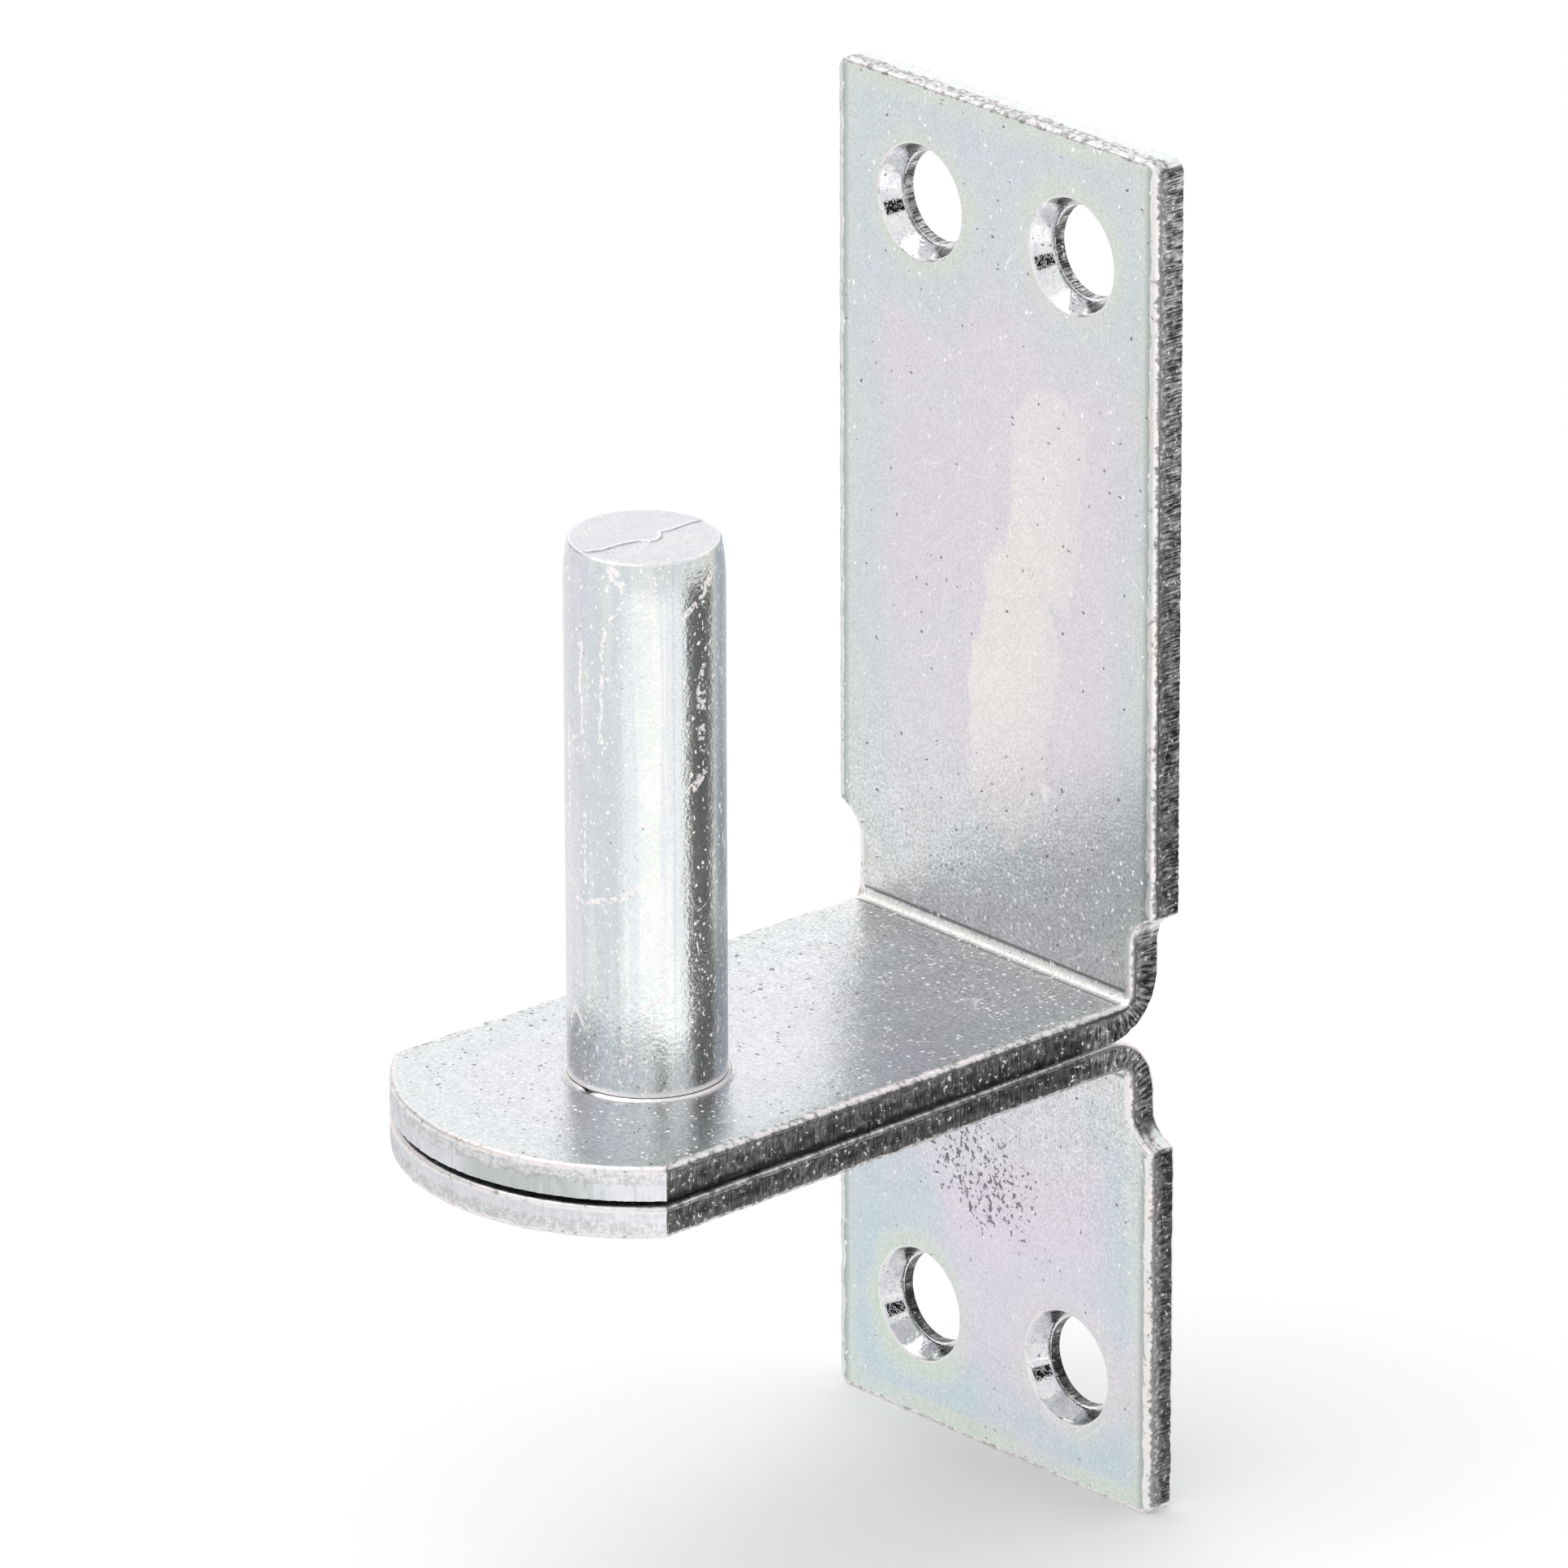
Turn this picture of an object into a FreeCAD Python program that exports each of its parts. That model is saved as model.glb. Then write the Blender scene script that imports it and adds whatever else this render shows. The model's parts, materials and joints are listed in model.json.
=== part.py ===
import FreeCAD, Part
import math
import os

from FreeCAD import Vector

os.makedirs("parts", exist_ok=True)

# Gate hinge pin on a double plate: two punched and folded steel plates lie
# shelf on shelf, their leaves screw to the post one above the other, and an
# upright pin riveted through both shelves carries the eye of the gate strap.
# Millimetres. X across the plates, Y towards the post, Z up along the pin.
# The origin is the centre of the four screw holes, on the mounting face.

# Driving dimensions of the plates
sheet = 3.5
leaf_width = 46.5
relief_depth = 3.0
relief_radius = 3.5
shoulder_radius = 0.8
upper_leaf_height = 89.0
upper_neck_height = 9.5
lower_leaf_height = 51.5
lower_neck_height = 8.4
leaf_corner_radius = 1.5
bend_inside_radius = 1.0
bend_outside_radius = 6.5
shelf_front_radius = 25.5
nose_corner_radius = 0.8
seam_opening = 0.7
edge_roll = 0.6

# Driving dimensions of the screw holes
hole_diameter = 9.5
hole_pitch = 22.0
hole_margin = 12.5
countersink_diameter = 12.2
countersink_angle = 60.0

# Driving dimensions of the pin
pin_diameter = 16.0
pin_height = 56.0
pin_reach = 50.0
pin_crown_width = 0.45
pin_crown_height = 4.5
pin_foot_bevel = 0.6
seat_depth = 0.5
seat_lip_radius = 1.2
seat_clearance = 0.25
tenon_diameter = 12.0
tenon_clearance = 0.1
rivet_head_diameter = 17.0
rivet_face_diameter = 12.5
rivet_head_height = 2.0

# Places that follow from them, with heights taken from the top of the upper shelf
UP = 1
DOWN = -1
margin = sheet
nearby = 0.01
shelf_width = leaf_width - 2 * relief_depth
shelf_front = pin_reach + shelf_front_radius
shelf_underside = -sheet
lower_leaf_end = shelf_underside - lower_leaf_height
upper_hole_row = upper_leaf_height - hole_margin
lower_hole_row = lower_leaf_end + hole_margin
hole_centre = (upper_hole_row + lower_hole_row) / 2
droop = seam_opening / shelf_front
droop_angle = math.degrees(math.atan(droop))
slant_sheet = sheet / math.cos(math.radians(droop_angle))
lower_underside_at_pin = shelf_underside - slant_sheet - droop * pin_reach
pin_axis = Vector(0, -pin_reach, 0)
pin_radius = pin_diameter / 2


def folded_strip(fold_level, leaf_end, way, slope):
    """An L of sheet as wide as the leaf, with its fold at the mounting face."""
    far = -shelf_front - margin
    inside = fold_level + way * sheet * math.hypot(1, slope)
    points = [
        Vector(0, 0, leaf_end),
        Vector(0, 0, fold_level),
        Vector(0, far, fold_level + slope * far),
        Vector(0, far, inside + slope * far),
        Vector(0, -sheet, inside - slope * sheet),
        Vector(0, -sheet, leaf_end),
    ]
    section = Part.Face(Part.makePolygon(points + points[:1]))
    section.translate(Vector(-leaf_width / 2, 0, 0))
    strip = section.extrude(Vector(leaf_width, 0, 0))
    for corner, radius in ((points[1], bend_outside_radius), (points[4], bend_inside_radius)):
        bend = [edge for edge in strip.Edges if edge.CenterOfMass.distanceToPoint(corner) < nearby]
        strip = strip.makeFillet(radius, bend)
    return strip


def half_outline(beyond, shoulder, leaf_end, way):
    """Right half of a plate's outline as seen from the front, from beyond the shelf to the leaf's end."""
    half_leaf = leaf_width / 2
    half_shelf = shelf_width / 2
    relief_centre = Vector(half_shelf + relief_radius, 0, shoulder - way * relief_radius)
    relief_start = Vector(half_shelf, 0, relief_centre.z)
    across = half_leaf - shoulder_radius - relief_centre.x
    along = math.sqrt((relief_radius + shoulder_radius) ** 2 - across**2)
    shoulder_centre = relief_centre + Vector(across, 0, way * along)
    towards = (shoulder_centre - relief_centre).normalize()
    relief_end = relief_centre + towards * relief_radius
    relief_middle = relief_centre + (towards - Vector(1, 0, 0)).normalize() * relief_radius
    shoulder_middle = shoulder_centre + (Vector(1, 0, 0) - towards).normalize() * shoulder_radius
    shoulder_end = Vector(half_leaf, 0, shoulder_centre.z)
    corner_start = Vector(half_leaf, 0, leaf_end - way * leaf_corner_radius)
    corner_end = Vector(half_leaf - leaf_corner_radius, 0, leaf_end)
    corner_centre = Vector(corner_end.x, 0, corner_start.z)
    corner_middle = corner_centre + Vector(1, 0, way).normalize() * leaf_corner_radius
    return [
        Part.makeLine(Vector(half_shelf, 0, beyond), relief_start),
        Part.Arc(relief_start, relief_middle, relief_end).toShape(),
        Part.Arc(relief_end, shoulder_middle, shoulder_end).toShape(),
        Part.makeLine(shoulder_end, corner_start),
        Part.Arc(corner_start, corner_middle, corner_end).toShape(),
        Part.makeLine(corner_end, Vector(0, 0, leaf_end)),
    ]


def outline_prism(shoulder, leaf_end, way):
    """The front outline of a plate, drawn through its whole depth."""
    beyond = shelf_underside - way * margin
    right = half_outline(beyond, shoulder, leaf_end, way)
    left = [edge.mirror(Vector(0, 0, 0), Vector(1, 0, 0)) for edge in right]
    ends = [Vector(side * shelf_width / 2, 0, beyond) for side in (-1, 1)]
    outline = Part.__sortEdges__(right + left + [Part.makeLine(*ends)])
    face = Part.Face(Part.Wire(outline))
    face.translate(Vector(0, margin, 0))
    return face.extrude(Vector(0, -shelf_front - 3 * margin, 0))


def rounded_nose(plate, tilt):
    """The plate with the front of its shelf cut to an arc about the pin, square to a shelf that tilts."""
    reach = plate.BoundBox.DiagonalLength
    front = Part.makeBox(2 * reach, reach, 2 * reach, Vector(-reach, -pin_reach - reach, -reach))
    keep = Part.makeCylinder(shelf_front_radius, 2 * reach, Vector(0, -pin_reach, -reach))
    waste = front.cut(keep)
    waste.rotate(pin_axis + Vector(0, 0, shelf_underside), Vector(1, 0, 0), tilt)
    nosed = plate.cut(waste).removeSplitter().Solids[0]
    before_pin = [edge for edge in nosed.Edges if edge.BoundBox.YMax < -pin_reach]
    corners = [edge for edge in before_pin if edge.BoundBox.XLength < nearby]
    return nosed.makeFillet(nose_corner_radius, corners)


def middle_normal(face):
    """Which way a face looks at its middle."""
    low_u, high_u, low_v, high_v = face.ParameterRange
    return face.normalAt((low_u + high_u) / 2, (low_v + high_v) / 2)


def is_skin(face):
    """True for a face of the sheet as rolled, false for one that the punch cut."""
    if isinstance(face.Surface, Part.Plane):
        leaf_end = face.BoundBox.YLength < 2 * sheet and face.BoundBox.ZLength < sheet
        return abs(middle_normal(face).x) < 0.5 and not leaf_end
    return abs(face.Surface.Axis.x) > 0.5


def is_nose(edge):
    """True for an edge along the arc at the front of the shelf."""
    return isinstance(edge.Curve, Part.Circle) and abs(edge.Curve.Radius - shelf_front_radius) < nearby


def rolled_rims(plate, way, both_nose_rims):
    """The plate with its rims rounded on the hollow side, where the punch drew them in, or round all the nose."""
    hollow = Vector(0, -1, way)
    rims = []
    for edge in plate.Edges:
        skins = [face for face in plate.ancestorsOfType(edge, Part.Face) if is_skin(face)]
        if len(skins) == 1:
            drawn_in = middle_normal(skins[0]).dot(hollow) > 0
            if drawn_in or (both_nose_rims and is_nose(edge)):
                rims.append(edge)
    return plate.makeFillet(edge_roll, rims)


def screw_hole(x, z):
    """A countersunk hole through a leaf, its mouth at the front."""
    half_cone = math.radians(countersink_angle / 2)
    depth = (countersink_diameter - hole_diameter) / 2 / math.tan(half_cone)
    through = Part.makeCylinder(hole_diameter / 2, sheet + 2 * margin, Vector(x, margin, z), Vector(0, -1, 0))
    mouth_radius = countersink_diameter / 2 + margin * math.tan(half_cone)
    cone_foot = Vector(x, depth - sheet, z)
    cone = Part.makeCone(hole_diameter / 2, mouth_radius, depth + margin, cone_foot, Vector(0, -1, 0))
    return through.fuse(cone)


def with_screw_holes(plate, level):
    """The plate with its row of screw holes at the level given."""
    for side in (-1, 1):
        plate = plate.cut(screw_hole(side * hole_pitch / 2, level))
    return plate


def tenon_hole(plate):
    """The plate with its shelf pierced for the tenon."""
    height = plate.BoundBox.ZLength
    foot = Vector(0, -pin_reach, plate.BoundBox.ZMin)
    return plate.cut(Part.makeCylinder(tenon_diameter / 2 + tenon_clearance, height, foot))


def pin_seat():
    """The shallow dish that the shoulder of the pin is pressed into, with a rounded lip."""
    floor = -seat_depth
    floor_radius = pin_radius + seat_clearance
    lip_turn = math.acos(1 - seat_depth / seat_lip_radius)
    rim_radius = floor_radius + seat_lip_radius * math.sin(lip_turn)
    lip_centre = Vector(rim_radius, 0, -seat_lip_radius)
    lip_middle = lip_centre + Vector(-math.sin(lip_turn / 2), 0, math.cos(lip_turn / 2)) * seat_lip_radius
    floor_edge = Vector(floor_radius, 0, floor)
    rim = Vector(rim_radius, 0, 0)
    above = Vector(0, 0, margin)
    over_rim = Vector(rim_radius, 0, above.z)
    edges = [Part.makeLine(Vector(0, 0, floor), floor_edge)]
    edges.append(Part.Arc(floor_edge, lip_middle, rim).toShape())
    edges.append(Part.makeLine(rim, over_rim))
    edges.append(Part.makeLine(over_rim, above))
    edges.append(Part.makeLine(above, Vector(0, 0, floor)))
    return turned(edges)


def turned(edges):
    """A solid turned about the pin's axis from a half section drawn in X and Z."""
    section = Part.Face(Part.Wire(edges))
    solid = section.revolve(Vector(0, 0, 0), Vector(0, 0, 1), 360)
    solid.translate(pin_axis)
    return solid


def upper_plate():
    strip = folded_strip(shelf_underside, upper_leaf_height, UP, 0)
    plate = strip.common(outline_prism(upper_neck_height, upper_leaf_height, UP))
    plate = rolled_rims(rounded_nose(plate, 0), UP, both_nose_rims=False)
    plate = with_screw_holes(plate, upper_hole_row)
    return tenon_hole(plate.cut(pin_seat()))


def lower_plate():
    strip = folded_strip(shelf_underside, lower_leaf_end, DOWN, droop)
    shoulder = shelf_underside - sheet - lower_neck_height
    plate = strip.common(outline_prism(shoulder, lower_leaf_end, DOWN))
    plate = rolled_rims(rounded_nose(plate, droop_angle), DOWN, both_nose_rims=True)
    plate = with_screw_holes(plate, lower_hole_row)
    return tenon_hole(plate)


def rivet_head():
    """The tenon's end, upset to a low head with a flat face, square to the drooping lower shelf."""
    points = [
        Vector(0, 0, 0),
        Vector(rivet_head_diameter / 2, 0, 0),
        Vector(rivet_face_diameter / 2, 0, -rivet_head_height),
        Vector(0, 0, -rivet_head_height),
    ]
    head = turned([Part.makeLine(a, b) for a, b in zip(points, points[1:] + points[:1])])
    head.translate(Vector(0, 0, lower_underside_at_pin))
    head.rotate(pin_axis + Vector(0, 0, lower_underside_at_pin), Vector(1, 0, 0), droop_angle)
    return head


def hinge_pin():
    shoulder = -seat_depth
    tenon_radius = tenon_diameter / 2
    foot = lower_underside_at_pin - rivet_head_height / 2
    crown_foot = Vector(pin_radius, 0, pin_height - pin_crown_height)
    crown_edge = Vector(pin_radius - pin_crown_width, 0, pin_height)
    crown_radius = (pin_crown_width**2 + pin_crown_height**2) / (2 * pin_crown_width)
    crown_centre = crown_foot - Vector(crown_radius, 0, 0)
    half_turn = math.asin(pin_crown_height / crown_radius) / 2
    crown_middle = crown_centre + Vector(math.cos(half_turn), 0, math.sin(half_turn)) * crown_radius
    points = [
        crown_edge,
        Vector(0, 0, pin_height),
        Vector(0, 0, foot),
        Vector(tenon_radius, 0, foot),
        Vector(tenon_radius, 0, shoulder),
        Vector(pin_radius - pin_foot_bevel, 0, shoulder),
        Vector(pin_radius, 0, shoulder + pin_foot_bevel),
        crown_foot,
    ]
    edges = [Part.makeLine(a, b) for a, b in zip(points, points[1:])]
    edges.append(Part.Arc(crown_foot, crown_middle, crown_edge).toShape())
    return turned(edges).fuse(rivet_head()).removeSplitter()


for name, shape in (
    ("upper_plate", upper_plate()),
    ("lower_plate", lower_plate()),
    ("hinge_pin", hinge_pin()),
):
    solid = shape.Solids[0]
    solid.translate(Vector(0, 0, -hole_centre))
    solid.exportStep(f"parts/{name}.step")
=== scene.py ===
import json
import math

import bmesh
import bpy
import numpy as np
from mathutils import Matrix, Vector, noise
from mathutils.geometry import delaunay_2d_cdt


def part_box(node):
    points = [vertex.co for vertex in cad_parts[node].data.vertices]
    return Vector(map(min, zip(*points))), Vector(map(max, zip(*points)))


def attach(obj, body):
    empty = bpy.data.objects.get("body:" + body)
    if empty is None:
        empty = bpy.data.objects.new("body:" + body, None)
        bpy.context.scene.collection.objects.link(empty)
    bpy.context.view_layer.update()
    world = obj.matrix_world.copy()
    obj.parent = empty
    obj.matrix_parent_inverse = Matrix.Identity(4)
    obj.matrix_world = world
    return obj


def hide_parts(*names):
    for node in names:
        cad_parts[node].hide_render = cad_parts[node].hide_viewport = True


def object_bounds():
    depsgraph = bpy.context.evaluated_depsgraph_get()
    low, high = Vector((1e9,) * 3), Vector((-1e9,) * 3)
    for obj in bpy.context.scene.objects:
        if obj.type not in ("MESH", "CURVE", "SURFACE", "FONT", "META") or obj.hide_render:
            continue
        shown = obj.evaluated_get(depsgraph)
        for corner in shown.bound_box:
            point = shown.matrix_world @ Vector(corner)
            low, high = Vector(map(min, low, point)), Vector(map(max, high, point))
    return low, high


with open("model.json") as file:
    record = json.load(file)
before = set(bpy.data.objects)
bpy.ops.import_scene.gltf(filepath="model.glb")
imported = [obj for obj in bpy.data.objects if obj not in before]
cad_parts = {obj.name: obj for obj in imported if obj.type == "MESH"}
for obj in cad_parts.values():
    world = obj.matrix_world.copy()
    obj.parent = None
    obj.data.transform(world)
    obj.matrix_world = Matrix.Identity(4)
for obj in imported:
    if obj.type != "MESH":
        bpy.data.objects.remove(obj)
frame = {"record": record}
cad_low, cad_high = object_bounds()

# Gate hinge pin on a double plate: two zinc plated sheets, folded and riveted shelf on shelf by the pin.
# Millimetres until a mesh is made. X across the plates, Y towards the post, Z up along the pin.

# Sizes that the frame gives
MM = 0.001
mounts = {mount["name"]: mount for mount in frame["record"]["mounts"]}
screw_pattern = mounts["screw_holes"]["dims"]
upper_low, upper_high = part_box("upper_plate")
lower_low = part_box("lower_plate")[0]
pin_low, pin_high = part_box("hinge_pin")
leaf_width = (upper_high[0] - upper_low[0]) / MM
shelf_front = -upper_low[1] / MM
seam_level = upper_low[2] / MM
upper_leaf_end = upper_high[2] / MM
lower_leaf_end = lower_low[2] / MM
pin_reach = -mounts["hinge_pin"]["pos_m"][1] / MM
pin_radius = mounts["hinge_pin"]["dims"]["r_mm"]
pin_top = pin_high[2] / MM
pin_foot = pin_low[2] / MM
hole_pitch = screw_pattern["spacing_x_mm"]
hole_row = screw_pattern["spacing_y_mm"] / 2
hole_radius = screw_pattern["hole_r_mm"]

# Sizes of the sheet, its bend and its holes
sheet = 3.5
relief_depth = 3.0
relief_radius = 3.5
shoulder_radius = 0.8
upper_neck_height = 9.5
lower_neck_height = 8.4
leaf_corner_radius = 1.5
nose_corner_radius = 0.25
bend_inside_radius = 1.0
bend_outside_radius = 6.5
bend_zone = 8.0
seam_opening = 0.7
countersink_radius = 6.1
countersink_angle = 60.0
countersink_lip = 0.12
lip_brow = (0.25, 0.2)
lip_foot = (-0.6, 0.7)

# Sizes of the punched rim: its roll, the waves and nicks in it as shares of it, and the tears in its wall
roll_depth = 0.6
end_roll_width = 0.45
side_roll_width = 0.95
rim_wave = 0.3
rim_wave_length = 2.6
rim_nick = 0.15
rim_nick_length = 0.7
tear_depth = 0.14
tear_length = 0.55
tear_height = 1.9
tear_bias = 0.35
deepest_tear = 1.2
tear_start = 2.2
tear_stop = 4
tear_smoothness = 0.8

# Sizes of the pin's seat and of the bead round its foot, outward from the pin and down from the shelf
seat_depth = 0.5
seat_lip_radius = 1.2
seat_lip_share = 0.55
seat_clearance = 0.25
bead_foot = 0.4
bead_flank = 0.26
bead_brow = 0.13
bead_inside = 0.03
bead_lean = 0.05
bead_height = 0.04
bead_dip = 0.02
bead_wave_degrees = 9.0
bead_nick = 0.6
bead_nick_degrees = 3.0
bead_pit_angle = 88.0
bead_pit_width = 4.0
bead_pit_depth = 0.4

# Sizes of the pin
tenon_radius = 6.0
tenon_hole_radius = 6.1
pin_foot_bevel = 0.6
pin_crown_width = 0.45
pin_crown_height = 4.5
pin_rim_radius = 0.4
pin_knock_depth = 0.03
knocks_per_metre = 140.0
knock_stretch = 0.45
rivet_head_radius = 8.5
rivet_face_radius = 6.25
rivet_head_height = 2.0

# Sizes of the pin's sheared end
end_step_height = 0.12
end_step_width = 0.08
end_grain_height = 0.03
end_grain_size = 1.3
end_grain_middle = 0.6
end_grain_smoothness = 0.9
shear_track = 0.05
shear_wobble = 0.05
shear_wobble_length = 0.35

# Seeds of the noises
upper_seed = 3.0
lower_seed = 8.0
nick_seed_shift = 5
bead_wave_seed = 6.0
bead_nick_seed = 7.0
knock_seed = 3.0
wobble_seed = 2.0
end_grain_seed = 4.0

# Fineness of the meshes and the noises
octave_ratio = 2.0
octaves = 3
edge_step = 0.25
skin_step = 2.0
bend_steps = 48
bend_row_count = 25
crease_row_count = 17
crease_share = (0.4, 0.6)
roll_steps = 5
wall_steps = 11
cone_steps = 6
land_steps = 4
lip_steps = 5
hole_sides = 120
pin_sides = 160
pin_rows = 40
crown_rows = 10
rim_steps = 4
end_grid = 0.45
end_grid_margin = 0.25
shear_step = 0.12
shear_margin = 0.1
shear_clearance = 0.3
crisp_angle = math.radians(32)
level_slack = 1e-3
touching = 1e-6
smallest_gap = 1e-7
closer_by = 1e-9

# Marks of points that are far from any hole or edge, and of a hole's wall
no_hole = 99.0
no_edge = 9.0
hole_side = 0.97

# Places that follow from them
UP = 1
DOWN = -1
shelf_top = seam_level + sheet
half_leaf = leaf_width / 2
half_shelf = half_leaf - relief_depth
nose_radius = shelf_front - pin_reach
countersink_depth = (countersink_radius - hole_radius) / math.tan(math.radians(countersink_angle / 2))
SKIN, ROLL, WALL, CONE = range(4)
TURNED, SHEARED = range(2)


class Shell:
    """Points, faces and finishes of one piece while it is built."""

    def __init__(self):
        self.points = []
        self.marks = []
        self.faces = []
        self.finishes = []

    def add(self, points, **marks):
        """Takes in points with their marks, and gives back their numbers."""
        start = len(self.points)
        self.points.extend(Vector(point) for point in points)
        count = len(self.points) - start
        columns = {name: np.broadcast_to(value, count) for name, value in marks.items()}
        self.marks.extend({name: float(column[k]) for name, column in columns.items()} for k in range(count))
        return list(range(start, start + count))

    def band(self, first, second, finish):
        """Quads between two closed rows of the same length."""
        count = len(first)
        for k in range(count):
            after = (k + 1) % count
            self.faces.append((first[k], first[after], second[after], second[k]))
            self.finishes.append(finish)

    def fill(self, faces, finish):
        self.faces.extend(faces)
        self.finishes.extend([finish] * len(faces))

    def object(self, name, finishes):
        """The finished piece, its place in its mesh, with outward faces and crisp edges kept crisp."""
        mesh = bpy.data.meshes.new(name)
        mesh.from_pydata([point * MM for point in self.points], [], self.faces)
        mesh.polygons.foreach_set("material_index", self.finishes)
        for mark in self.marks[0]:
            layer = mesh.attributes.new(mark, "FLOAT", "POINT")
            layer.data.foreach_set("value", [marks[mark] for marks in self.marks])
        tidy = bmesh.new()
        tidy.from_mesh(mesh)
        bmesh.ops.recalc_face_normals(tidy, faces=tidy.faces)
        tidy.to_mesh(mesh)
        tidy.free()
        mesh.shade_smooth()
        mesh.set_sharp_from_angle(angle=crisp_angle)
        for finish in finishes:
            mesh.materials.append(finish)
        return linked(bpy.data.objects.new(name, mesh))


def linked(made):
    bpy.context.scene.collection.objects.link(made)
    return made


def polar_points(centre, radius, angles):
    return np.column_stack([centre[0] + radius * np.cos(angles), centre[1] + radius * np.sin(angles)])


def arc_points(centre, radius, start, end, step):
    """Points along an arc, angles in radians, without its last one."""
    count = max(3, math.ceil(abs(end - start) * radius / step))
    return polar_points(centre, radius, start + (end - start) * np.arange(count) / count)


def circle_points(centre, radius, sides):
    return polar_points(centre, radius, 2 * math.pi * np.arange(sides) / sides)


def line_points(start, end, step):
    """Points along a line, without its last one."""
    start = np.array(start)
    end = np.array(end)
    count = max(1, math.ceil(np.linalg.norm(end - start) / step))
    return start + (end - start) * (np.arange(count) / count)[:, None]


def run_lengths(points):
    """Length of a path up to each of its points."""
    return np.concatenate([[0], np.cumsum(np.linalg.norm(np.diff(points, axis=0), axis=1))])


def along_path(points, at):
    """Points of a path at some lengths along it."""
    lengths = run_lengths(points)
    return np.column_stack([np.interp(at, lengths, points[:, 0]), np.interp(at, lengths, points[:, 1])])


def filleted_path(start, corner, end, radius):
    """Two straight runs joined by an arc."""
    start, corner, end = Vector(start), Vector(corner), Vector(end)
    to_start = (start - corner).normalized()
    to_end = (end - corner).normalized()
    half_angle = to_start.angle(to_end) / 2
    centre = corner + (to_start + to_end).normalized() * (radius / math.sin(half_angle))
    run = radius / math.tan(half_angle)
    first = corner + to_start * run - centre
    last = corner + to_end * run - centre
    turn = math.atan2(first.cross(last), first.dot(last))
    arc = [centre + Matrix.Rotation(turn * k / bend_steps, 2) @ first for k in range(bend_steps + 1)]
    return np.array([start] + arc + [end])


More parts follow.
